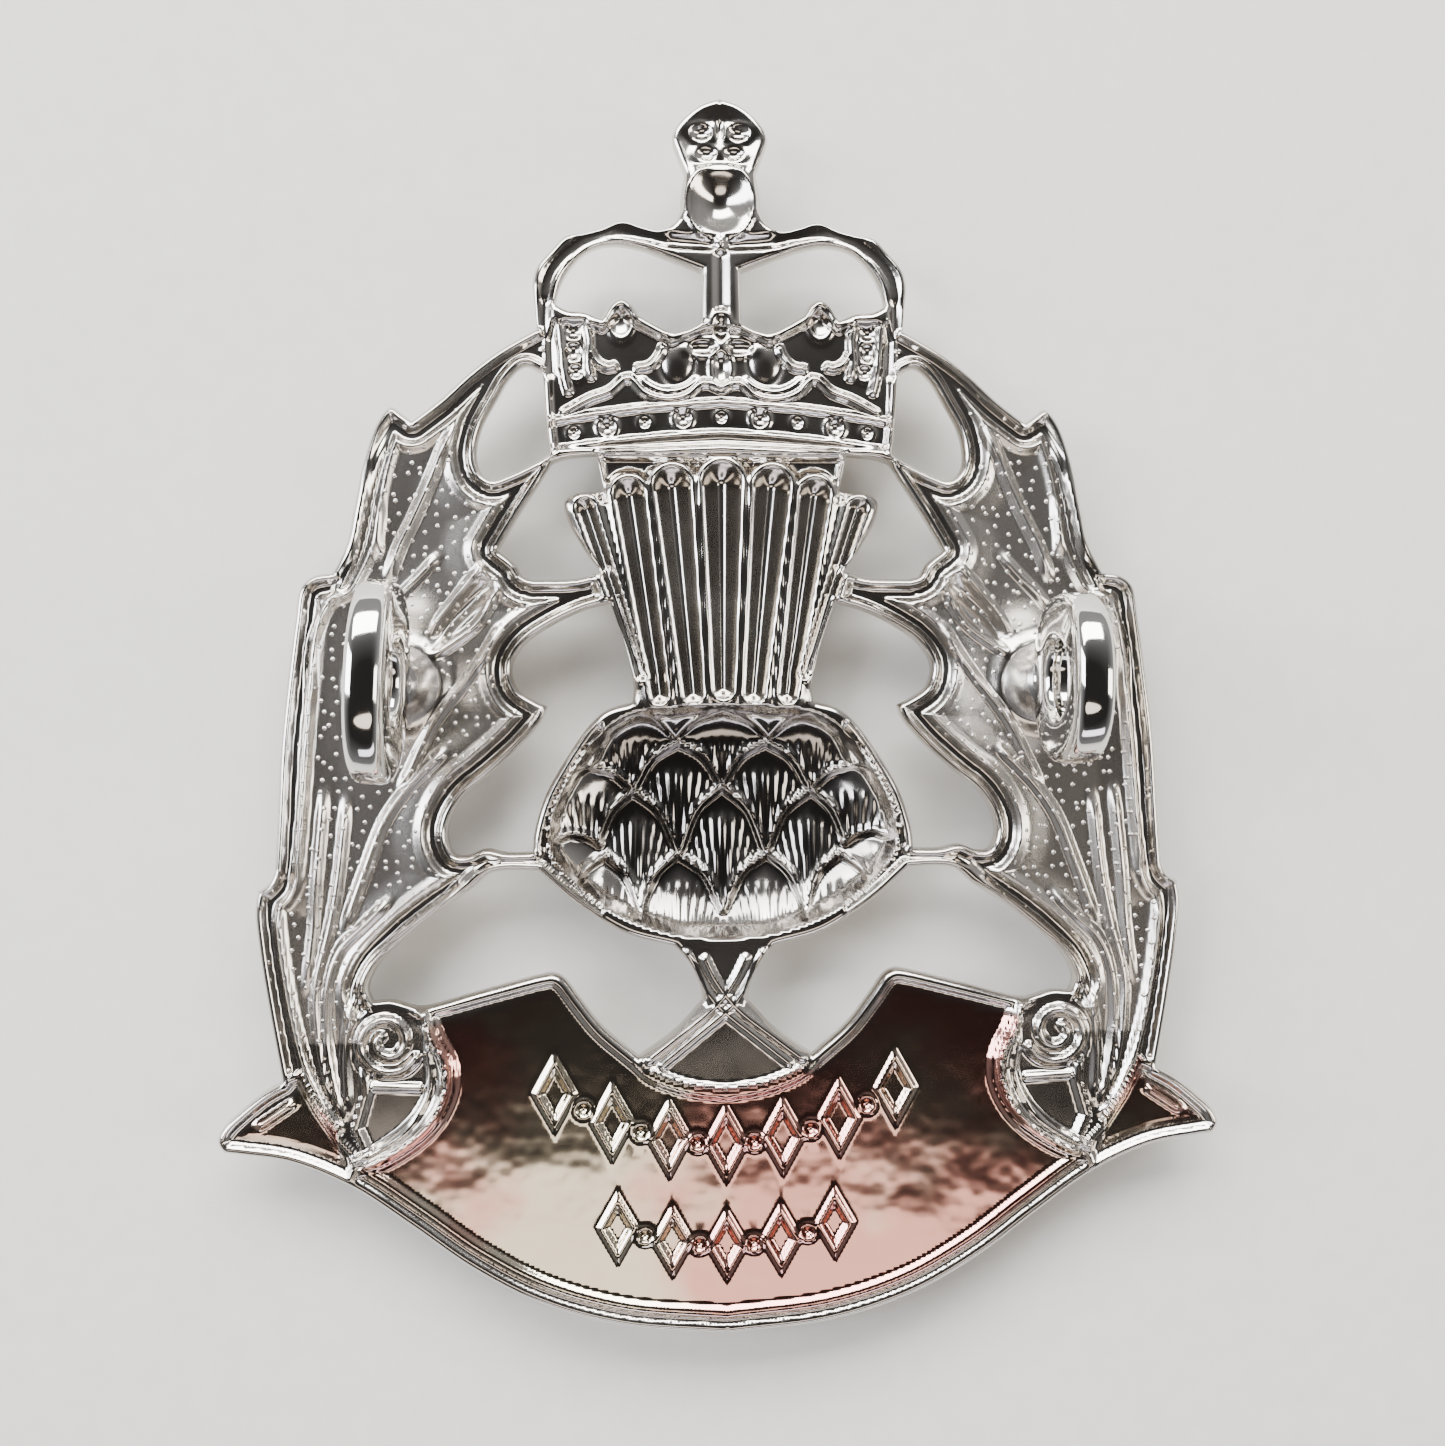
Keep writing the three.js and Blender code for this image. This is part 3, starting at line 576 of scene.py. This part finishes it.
def curl_relief(x, y, height):
    """The height with a spiral ridge in a flat disc round the curl's middle, and lines along the
    scroll's turned-back end."""
    height = height + line_relief(x, y, CURL_LINES)
    turn = np.radians(np.linspace(*SPIRAL_TURN, 60))
    radius = np.linspace(*SPIRAL_RADIUS, 60)
    spiral = np.column_stack([CURL[0] + radius * np.cos(turn), CURL[1] + radius * np.sin(turn)])
    gap, _ = away(x, y, spiral)
    disc = 0.26 * np.clip(1 - (gap / 0.3) ** 2, 0, 1) ** 2 - 0.12
    share = ease((1.7 - np.hypot(x - CURL[0], y - CURL[1])) / 0.3)
    return height + (disc - height) * share


def relief(x, y, gap):
    """Height of the back above its flat level at points with x >= 0, which are `gap` from an edge.
    Each part of the badge fills its own region; where two overlap, the later one counts."""
    height = np.zeros(x.shape)
    leaf = (x > np.where(np.abs(y) < 9.5, 4.9, 6.8)) & (y > -17.6) & (y < 15.7)
    height[leaf] = leaf_relief(x[leaf], y[leaf], gap[leaf])
    crown = (y > 10.2) & (x < 7.6) & ~((x > 7.15) & (y < 15.6))
    height[crown] = crown_relief(x[crown], y[crown], gap[crown])
    web = (x < 5.1) & (y > 8.6) & (y < 10.62)
    height[web] = -WEB_DEPTH * ease((10.5 - y[web]) / 0.15) * ease(gap[web] / 0.3)
    head = (x < 6.5) & (y > 0.2) & (y < 10.5)
    flutes, outside = head_relief(x[head], y[head])
    height[head] = height[head] * ease((outside - 0.1) / 0.35) + flutes
    bulb, bowl = bulb_relief(x, y)
    height[bulb] = bowl[bulb]
    stem = (y < -9.0) & (x < 4.2) & (y > -15.2)
    height[stem] += line_relief(x[stem], y[stem], STEM_EDGES)
    scroll, flat = scroll_relief(x, y)
    height[scroll] = (flat + lozenge_relief(x, y))[scroll]
    tail, flat = end_relief(x, y, gap)
    tail &= ~scroll
    height[tail] = flat[tail] + line_relief(x[tail], y[tail], VEINS)
    end = (x > 10.8) & (y < -11.3)
    height[end] = curl_relief(x[end], y[end], height[end])
    return height


edges_of_plate = [outline(runs, LINE_STEP) for runs in (OUTER, *PIERCINGS)]


def rounded(gap):
    """How far a rounded edge drops at a distance from it: a quarter circle."""
    return EDGE_ROUND - np.sqrt(EDGE_ROUND**2 - np.clip(EDGE_ROUND - gap, 0, EDGE_ROUND) ** 2)


def is_metal(x, y):
    """Inside the outer edge and outside every piercing."""
    metal = encloses(x, y, edges_of_plate[0])
    for hole in edges_of_plate[1:]:
        metal &= ~encloses(x, y, hole)
    return metal


def spread(mask):
    """A grid's mask, grown by one step in every direction."""
    wide = mask.copy()
    wide[:, 1:] |= mask[:, :-1]
    wide[:, :-1] |= mask[:, 1:]
    grown = wide.copy()
    grown[1:] |= wide[:-1]
    grown[:-1] |= wide[1:]
    return grown


def thinned(x, y, step):
    """Which of a grid's points to keep: all of them where the relief turns sharply, a quarter where
    it turns a little, and a sixteenth where it is even."""
    height = height_at(x.ravel(), y.ravel()).reshape(x.shape)
    bend = np.zeros(x.shape)
    bend[:, 1:-1] = np.abs(height[:, 2:] + height[:, :-2] - 2 * height[:, 1:-1])
    bend[1:-1] += np.abs(height[2:] + height[:-2] - 2 * height[1:-1])
    bend /= step * step
    row, column = np.indices(x.shape)
    some = (column % 2 == 0) & (row % 2 == 0)
    few = (column % 4 == 0) & (row % 4 == 0)
    return spread(bend > SHARP) | (spread(bend > SHARP / 6) & some) | few


def half_surface(strips, rings, thin):
    """Triangles over the plate's right half: rings along the edges, at (line, offset) each, and
    strips of grid between them, from one level to another at a spacing. The edges' own points come
    first, in the same order whatever the grid."""
    near_edge = []
    for line, offset in rings:
        along = np.gradient(line, axis=0)
        normal = np.column_stack([along[:, 1], -along[:, 0]]) / np.linalg.norm(along, axis=1)[:, None]
        for side in (offset, -offset):
            near_edge.append(np.column_stack([line + side * normal, np.full(len(line), offset)]))
    near_edge = np.vstack(near_edge)
    gap = edge_gap(near_edge[:, 0], near_edge[:, 1], edges_of_plate, 1.0)
    near_edge = near_edge[(gap > near_edge[:, 2] * 0.96) & (near_edge[:, 0] > CLEAR)][:, :2]
    near_edge = near_edge[is_metal(near_edge[:, 0], near_edge[:, 1])]
    grids = []
    for low, high, step in strips:
        gx, gy = np.meshgrid(np.arange(0, HALF_WIDTH, step), np.arange(low, high, step))
        chosen = is_metal(gx + 1e-6, gy)
        if thin:
            chosen &= thinned(gx, gy, step)
        grids.append(np.column_stack([gx[chosen], gy[chosen]]))
    gx, gy = np.vstack(grids).T
    clear = edge_gap(gx, gy, edges_of_plate, 1.0) > EDGE_ROUND + CLEAR
    middle = np.sort(gy[clear & (gx == 0)])
    inner = np.column_stack([gx, gy])[clear & (gx > 0)]
    rim, *loops = edges_of_plate
    edges, count = [], len(rim)
    for hole in loops:
        index = np.arange(count, count + len(hole) - 1)
        edges.append(np.column_stack([index, np.roll(index, -1)]))
        count += len(hole) - 1
    closed = np.concatenate([np.arange(len(rim)), np.arange(count, count + len(middle))])
    edges.append(np.column_stack([closed, np.roll(closed, -1)]))
    everything = np.vstack([rim, *[hole[:-1] for hole in loops],
                            np.column_stack([np.zeros(len(middle)), middle]), near_edge, inner])
    result = geometry.delaunay_2d_cdt([Vector(p) for p in everything.tolist()],
                                      np.vstack(edges).tolist(), [], 0, 1e-7, False)
    flat = np.array([tuple(v) for v in result[0]])
    triangles = np.array(result[2])
    return flat, triangles[is_metal(*flat[triangles].mean(axis=1).T)], count


def height_at(x, y):
    """The back's height at points on either side of the middle line, rounded edges included."""
    x = np.abs(x)
    gap = edge_gap(x, y, edges_of_plate, 3.0)
    return relief(x, y, gap) - rounded(gap)


# Rings of points follow the rounded edges, and the border along the scroll's lower edge.
back_rings = [(line, inset) for line in edges_of_plate for inset in (0.05, 0.13, EDGE_ROUND)]
back_rings += [(outline(OUTER[-1:], LINE_STEP), inset) for inset in np.arange(0.4, 1.45, 0.1)]
back_strips = ((-25, 10.3, FINE), (10.3, 16.9, CROWN_FINE), (16.9, 25, FINE))
back_flat, back_faces, edge_count = half_surface(back_strips, back_rings, True)
face_rings = [(line, 0.12) for line in edges_of_plate]
face_flat, face_faces, _ = half_surface(((-25, 25, COARSE),), face_rings, False)
face_gap = edge_gap(face_flat[:, 0], face_flat[:, 1], edges_of_plate, 3.0)
back_z = back + height_at(*back_flat.T)
face_z = (back - SHEET + relief(*face_flat.T, face_gap) + rounded(face_gap)).clip(min=0)


def facing(flat, faces, up):
    """Faces wound so that they look up, or down."""
    a, b, c = (flat[faces[:, i]] for i in range(3))
    turn = (b[:, 0] - a[:, 0]) * (c[:, 1] - a[:, 1]) - (b[:, 1] - a[:, 1]) * (c[:, 0] - a[:, 0])
    wrong = (turn > 0) != up
    return np.where(wrong[:, None], faces[:, ::-1], faces)


def open_edges(faces):
    """The edges that only one face uses, in that face's direction."""
    ends = np.vstack([faces[:, [0, 1]], faces[:, [1, 2]], faces[:, [2, 0]]])
    _, place, count = np.unique(np.sort(ends, axis=1), axis=0, return_index=True, return_counts=True)
    return ends[place[count == 1]]


back_faces = facing(back_flat, back_faces, True)
face_faces = facing(face_flat, face_faces, False)
border = open_edges(back_faces)
border = border[(border < edge_count).all(axis=1)]
back_count = len(back_flat)
wall = np.vstack([np.column_stack([border[:, 1], border[:, 0], border[:, 0] + back_count]),
                  np.column_stack([border[:, 1], border[:, 0] + back_count, border[:, 1] + back_count])])
corners = np.vstack([np.column_stack([back_flat, back_z]), np.column_stack([face_flat, face_z])])
faces = np.vstack([back_faces, face_faces + back_count, wall])
on_middle = corners[:, 0] < 1e-5
half_count = len(corners)
mirror_index = np.arange(half_count) + half_count
mirror_index[on_middle] = np.flatnonzero(on_middle)
faces = np.vstack([faces, mirror_index[faces][:, ::-1]])
corners = np.vstack([corners, corners * (-1, 1, 1)])
used, compact = np.unique(faces, return_inverse=True)
corners, faces = corners[used], compact.reshape(faces.shape)

# Bright plating over struck brass: mirror-like, a little clouded, pitted where the die stippled the
# leaves' ground, with painted shade that darkens the deep hollows, and with a pale to pink film on the
# scroll that is partly tarnish and partly a painted reflection of warm light. The clouds are about 3 mm
# across, the film's patches 9 mm and its swells 4 mm.
plating, plating_shader = new_material("bright_plate_on_struck_brass")
plating_shader.inputs["Metallic"].default_value = 1.0
place = add(plating, "ShaderNodeTexCoord").outputs["Object"]
cloud = add(plating, "ShaderNodeTexNoise", Vector=place, Scale=350.0, Detail=4.0)
tone = add(plating, "ShaderNodeMix", {"data_type": "RGBA"}, _0=cloud.outputs["Fac"],
           _6=linear("#C9C2B9"), _7=linear("#E3DFD9"))
ground = add(plating, "ShaderNodeAttribute", {"attribute_name": "stipple"})
sheen = add(plating, "ShaderNodeMapRange", Value=cloud.outputs["Fac"], To_Min=0.08, To_Max=0.2)
frost = add(plating, "ShaderNodeMix", _0=ground.outputs["Fac"], _2=sheen.outputs[0], _3=0.24)
# Mask of the scroll's film, partly tarnish and partly painted warm reflection; it also smooths and waves
# the surface there.
tarnish_and_reflection_mask = add(plating, "ShaderNodeAttribute", {"attribute_name": "tarnish_and_warm_reflection"})
flatter = add(plating, "ShaderNodeMix", _0=tarnish_and_reflection_mask.outputs["Fac"], _2=frost.outputs[0], _3=0.09)
plating.node_tree.links.new(flatter.outputs[0], plating_shader.inputs["Roughness"])
# The dots are about 0.18 mm across and 0.53 mm apart, coarser than a real stipple, so that they show.
# They and the film's swells are too shallow to matter in the mesh, and are bump only.
grain = add(plating, "ShaderNodeTexVoronoi", {"voronoi_dimensions": "2D"}, Vector=place, Scale=1900.0,
            Randomness=0.7)
dot = add(plating, "ShaderNodeMapRange", {"interpolation_type": "SMOOTHSTEP"},
          Value=grain.outputs["Distance"], From_Min=0.03, From_Max=0.17, To_Min=1.0, To_Max=0.0)
pits = add(plating, "ShaderNodeMath", {"operation": "MULTIPLY"}, _0=dot.outputs[0],
           _1=ground.outputs["Fac"])
dents = add(plating, "ShaderNodeBump", Height=pits.outputs[0], Strength=1.0, Distance=0.000032)
swell = add(plating, "ShaderNodeTexNoise", Vector=place, Scale=240.0, Detail=3.0, Roughness=0.5)
waves = add(plating, "ShaderNodeMath", {"operation": "MULTIPLY"}, _0=swell.outputs["Fac"],
            _1=tarnish_and_reflection_mask.outputs["Fac"])
unevenness = add(plating, "ShaderNodeBump", Height=waves.outputs[0], Strength=1.0, Distance=0.00007,
                 Normal=dents.outputs[0])
plating.node_tree.links.new(unevenness.outputs[0], plating_shader.inputs["Normal"])
# Painted reflection: on the scroll the colour runs in patches from cream to pink, partly tarnish and
# partly warm light reflected in the plating.
patches = add(plating, "ShaderNodeTexNoise", Vector=place, Scale=110.0, Detail=4.0)
blush = add(plating, "ShaderNodeMapRange", {"interpolation_type": "SMOOTHSTEP"},
            Value=patches.outputs["Fac"], From_Min=0.38, From_Max=0.56, To_Min=0.0, To_Max=1.0)
film_and_painted_reflection = add(plating, "ShaderNodeMix", {"data_type": "RGBA"}, _0=blush.outputs[0],
           _6=linear("#DDD3BE"), _7=linear("#D8A094"))
skin = add(plating, "ShaderNodeMix", {"data_type": "RGBA"}, _0=tarnish_and_reflection_mask.outputs["Fac"],
           _6=tone.outputs[2], _7=film_and_painted_reflection.outputs[2])
# Painted shade: the base colour goes grey-brown the deeper the back lies below its flat level.
hollow = add(plating, "ShaderNodeAttribute", {"attribute_name": "painted_recess_shade"})
shaded_in_hollows = add(plating, "ShaderNodeMix", {"data_type": "RGBA"}, _0=hollow.outputs["Fac"],
             _6=skin.outputs[2], _7=linear("#8C8884"))
plating.node_tree.links.new(shaded_in_hollows.outputs[2], plating_shader.inputs["Base Color"])

plate = new_piece("struck_plate_relief", corners, faces.tolist(), plating)
SLOPE_STEP = 0.05


def slope_normals(x, y):
    """Unit normals of the back's height map, from its differences over a small step each way."""
    normal = np.column_stack([height_at(x - SLOPE_STEP, y) - height_at(x + SLOPE_STEP, y),
                              height_at(x, y - SLOPE_STEP) - height_at(x, y + SLOPE_STEP),
                              np.full(len(x), 2 * SLOPE_STEP)])
    return normal / np.linalg.norm(normal, axis=1)[:, None]


normals = np.zeros((len(corners), 3), np.float32)
plate.data.vertex_normals.foreach_get("vector", normals.ravel())
source = used % half_count
half_gap = edge_gap(*np.vstack([back_flat, face_flat]).T, edges_of_plate, 1.5)
curved = (source < back_count) & (half_gap[source] > 0.06)  # all of the back but its very edge
slope = slope_normals(*back_flat.T)[source[curved]]
normals[curved] = np.where((used[curved] < half_count)[:, None], slope, slope * (-1, 1, 1))
plate.data.normals_split_custom_set_from_vertices(normals.tolist())
side_x, side_y = np.abs(corners[:, 0]), corners[:, 1]
plate_gap = half_gap[source]
on_back = source < back_count
on_scroll = on_back & encloses(side_x, side_y, scroll_loop)
on_tail = encloses(side_x, side_y, TAIL_LOOP) | encloses(side_x, side_y, CURL_GROUND)
on_tail &= on_back & ~on_scroll
leafy = ((side_x > 7.2) & (side_y < 14) & (side_y > -13) & on_back & ~on_scroll & ~on_tail
         & (np.hypot(side_x - SEAT[0], side_y - SEAT[1]) > SEAT_PLAIN))
# The scroll's film: partly tarnish, partly a painted reflection of warm light.
film_and_reflection_area = on_scroll | on_tail & (side_x > 15.5)
# The stipple is real pitting. The last mask is painted shade that grows with depth in the hollows.
for name, share in (
    ("stipple", leafy * ease((plate_gap - 0.6) / 0.3)),
    ("tarnish_and_warm_reflection", film_and_reflection_area * ease((plate_gap - 0.5) / 0.4)),
    ("painted_recess_shade", on_back * ease((back - 0.7 - corners[:, 2]) / 0.9)),
):
    layer = plate.data.attributes.new(name, "FLOAT", "POINT")
    layer.data.foreach_set("value", share.astype(np.float32))
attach(plate, "root")
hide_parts("struck_plate")

# Lugs --------------------------------------------------------------------------------------
# A cast, polished and plated eye on a short shank, one at each side, brazed to the plate's back with
# its hole across the badge. A section through the eye is a cushion: flat flanks, well rounded corners.

EYE_HOLE = 2.8  # along Y
EYE_WIDTH = 1.46  # along X
EYE_SQUARENESS = 2.4  # 2 is an ellipse
CUSHION = 4  # the same, for the section
SHANK_HEIGHT = 0.8
SHANK = ((1.0, 0), (0.85, 0.5), (0.8, 1.6))  # radius at each height above the foot
LUG_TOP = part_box("right_lug")[1].z / MM
LUG_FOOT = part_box("right_lug")[0].z / MM
RING_SIDES = 96
SECTION_SIDES = 36


def grid_faces(rows, columns, close_rows):
    """Quads over a grid that closes on itself along its columns and, if asked, its rows."""
    i, j = np.meshgrid(np.arange(rows if close_rows else rows - 1), np.arange(columns), indexing="ij")
    below, beside = (i + 1) % rows, (j + 1) % columns
    quads = np.stack([i * columns + j, below * columns + j,
                      below * columns + beside, i * columns + beside], -1)
    return quads.reshape(-1, 4)


def eye(length):
    """A closed ring that is a little squarer than an ellipse in Y and Z, |y|^2.4 + |z|^2.4 = 1, and
    carries a cushion section |r|^4 + |w|^4 = 1."""
    height = LUG_TOP - LUG_FOOT - SHANK_HEIGHT
    round_ring = np.linspace(0, 2 * np.pi, RING_SIDES, False)
    round_section = np.linspace(0, 2 * np.pi, SECTION_SIDES, False)
    u, v = np.meshgrid(round_ring, round_section, indexing="ij")
    across = np.sign(np.cos(v)) * np.abs(np.cos(v)) ** (2 / CUSHION)
    wide = np.sign(np.sin(v)) * np.abs(np.sin(v)) ** (2 / CUSHION)
    band = (length - EYE_HOLE) / 4
    radius = (length + EYE_HOLE) / 4 + band * across
    squarer = np.abs(np.cos(u)) ** EYE_SQUARENESS + np.abs(np.sin(u)) ** EYE_SQUARENESS
    squarer = squarer ** (-1 / EYE_SQUARENESS)
    squarer = 1 + (squarer - 1) * (radius / radius.max())
    ring = np.stack([wide * EYE_WIDTH / 2, radius * squarer * np.cos(u),
                     radius * squarer * np.sin(u) * height / length], -1)
    ring[..., 2] += LUG_FOOT + SHANK_HEIGHT + height / 2
    return ring.reshape(-1, 3), grid_faces(RING_SIDES, SECTION_SIDES, True)


def turned(profile, sides, wobble=0.0):
    """A profile of (radius, height) turned about Z and closed at both ends; the wobble, a share of
    the radius, rises and falls twice and three times round."""
    profile = np.array(profile, float)
    angle = np.linspace(0, 2 * np.pi, sides, False)
    swell = 1 + wobble * (np.sin(2 * angle + 0.7) + 0.6 * np.sin(3 * angle + 2.1))
    body = np.stack([profile[:, :1] * swell * np.cos(angle), profile[:, :1] * swell * np.sin(angle),
                     np.repeat(profile[:, 1:], sides, axis=1)], -1).reshape(-1, 3)
    ends = np.array([(0, 0, profile[0, 1]), (0, 0, profile[-1, 1])])
    ring = np.arange(sides)
    last = (len(profile) - 1) * sides
    foot = np.column_stack([ring, np.full(sides, len(body)), (ring + 1) % sides])
    cap = np.column_stack([last + (ring + 1) % sides, np.full(sides, len(body) + 1), last + ring])
    quads = grid_faces(len(profile), sides, False)[:, ::-1]
    return np.vstack([body, ends]), [*quads.tolist(), *foot.tolist(), *cap.tolist()]


# Bright plating over a polished casting: a smoother mirror than the plate, very faintly clouded, in
# clouds about 1.7 mm across.
lug_plating, lug_shader = new_material("bright_plate_on_polished_casting")
lug_shader.inputs["Metallic"].default_value = 1.0
lug_place = add(lug_plating, "ShaderNodeTexCoord").outputs["Object"]
lug_cloud = add(lug_plating, "ShaderNodeTexNoise", Vector=lug_place, Scale=600.0, Detail=3.0)
lug_tone = add(lug_plating, "ShaderNodeMix", {"data_type": "RGBA"}, _0=lug_cloud.outputs["Fac"],
               _6=linear("#D8D5CF"), _7=linear("#ECEAE6"))
lug_plating.node_tree.links.new(lug_tone.outputs[2], lug_shader.inputs["Base Color"])
lug_sheen = add(lug_plating, "ShaderNodeMapRange", Value=lug_cloud.outputs["Fac"],
                To_Min=0.04, To_Max=0.1)
lug_plating.node_tree.links.new(lug_sheen.outputs[0], lug_shader.inputs["Roughness"])

for name, side, length, turn in (  # which side of the middle, length along Y, turn about Z in degrees
    ("left_lug", -1, 7.6, -2.8),
    ("right_lug", 1, 6.5, 0.0),
):
    ring, ring_faces = eye(length)
    shank, shank_faces = turned([(radius, LUG_FOOT + level) for radius, level in SHANK], 32)
    points = np.vstack([ring, shank])
    c, s = np.cos(np.radians(turn)), np.sin(np.radians(turn))
    points[:, :2] = points[:, :2] @ np.array([(c, s), (-s, c)]) + (side * SEAT[0], SEAT[1])
    both_faces = [*ring_faces.tolist(), *[[i + len(ring) for i in face] for face in shank_faces]]
    lug = new_piece(name + "_eye", points, both_faces, lug_plating)
    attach(lug, "root")
    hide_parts(name)

# Brazing -----------------------------------------------------------------------------------
# A fillet of brazing metal that ran round each lug's foot and froze there in a hollow cone. It holds
# the lug to the plate, and is plated with the rest.

FILLET_NECK = 1.02  # radius at the top, close round the shank
FILLET_SPREAD = 0.68  # how much wider it is at the foot
FILLET_HEIGHT = 1.5
FILLET_SINK = 0.04  # how far it reaches below the plate's back
FILLET_HOLLOW = 2.4  # 1 is a straight cone

# Plated braze: duller and warmer than the lug, and uneven where it flowed, in lumps about 1 mm across.
braze_metal, braze_shader = new_material("plated_braze_as_flowed")
braze_shader.inputs["Metallic"].default_value = 1.0
braze_place = add(braze_metal, "ShaderNodeTexCoord").outputs["Object"]
braze_flow = add(braze_metal, "ShaderNodeTexNoise", Vector=braze_place, Scale=900.0, Detail=5.0)
braze_tone = add(braze_metal, "ShaderNodeMix", {"data_type": "RGBA"}, _0=braze_flow.outputs["Fac"],
                 _6=linear("#A9A5A1"), _7=linear("#CDCAC6"))
braze_metal.node_tree.links.new(braze_tone.outputs[2], braze_shader.inputs["Base Color"])
braze_sheen = add(braze_metal, "ShaderNodeMapRange", Value=braze_flow.outputs["Fac"],
                  To_Min=0.16, To_Max=0.34)
braze_metal.node_tree.links.new(braze_sheen.outputs[0], braze_shader.inputs["Roughness"])
braze_lumps = add(braze_metal, "ShaderNodeBump", Height=braze_flow.outputs["Fac"], Strength=0.15,
                  Distance=0.00008)
braze_metal.node_tree.links.new(braze_lumps.outputs[0], braze_shader.inputs["Normal"])

rise = np.linspace(0, 1, 18)
radius = FILLET_NECK + FILLET_SPREAD * (1 - rise) ** FILLET_HOLLOW
profile = np.column_stack([radius, back - FILLET_SINK + FILLET_HEIGHT * rise])
for name, side in (("left_braze", -1), ("right_braze", 1)):
    points, fillet_faces = turned(profile, 64, wobble=0.02)
    fillet = new_piece(name + "_fillet", points + (side * SEAT[0], SEAT[1], 0), fillet_faces, braze_metal)
    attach(fillet, "root")
    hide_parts(name)

# Light -------------------------------------------------------------------------------------
# Plain soft studio light: softboxes round a dark ceiling, so that the plating shows both. All the
# lamps look at the badge's middle.

world = bpy.data.worlds.new("studio")
bpy.context.scene.world = world
world.use_nodes = True
direction = add(world, "ShaderNodeTexCoord").outputs["Generated"]
parts = add(world, "ShaderNodeSeparateXYZ", _0=direction)
# Darker overhead, and towards the scroll's side.
lean = add(world, "ShaderNodeMath", {"operation": "MULTIPLY_ADD"},
           _0=parts.outputs["Y"], _1=-0.4, _2=parts.outputs["Z"])
ramp = add(world, "ShaderNodeValToRGB", _0=lean.outputs[0])
for stop, (position, code) in zip(ramp.color_ramp.elements, ((0.1, "#C4C4C6"), (0.9, "#3A3838"))):
    stop.position = position
    stop.color = linear(code)
background = world.node_tree.nodes["Background"]
world.node_tree.links.new(ramp.outputs["Color"], background.inputs["Color"])
background.inputs["Strength"].default_value = 0.7

for name, shape, place_mm, size_mm, radiance, colour in (
    ("crown_side_box", "RECTANGLE", (-40, 330, 270), (520, 210), 16.0, "#FFFFFF"),
    ("left_box", "RECTANGLE", (-340, 60, 230), (150, 340), 14.4, "#F2F5FF"),
    ("right_box", "RECTANGLE", (340, -20, 260), (110, 260), 8.8, "#FFF8EE"),
    ("warm_card", "ELLIPSE", (0, -153, 300), (270, 88), 2.48, "#FFF1E4"),
    ("scroll_side_box", "RECTANGLE", (60, -420, 170), (420, 90), 3.6, "#F4F1FF"),
):
    data = bpy.data.lights.new(name, "AREA")
    data.shape = shape
    data.size, data.size_y = (edge * MM for edge in size_mm)
    area = data.size * data.size_y * (np.pi / 4 if shape == "ELLIPSE" else 1)
    data.energy = radiance * np.pi * area
    data.color = linear(colour)[:3]
    lamp = bpy.data.objects.new(name, data)
    bpy.context.scene.collection.objects.link(lamp)
    lamp.location = Vector(place_mm) * MM
    lamp.rotation_euler = (-Vector(place_mm)).to_track_quat("-Z", "Y").to_euler()
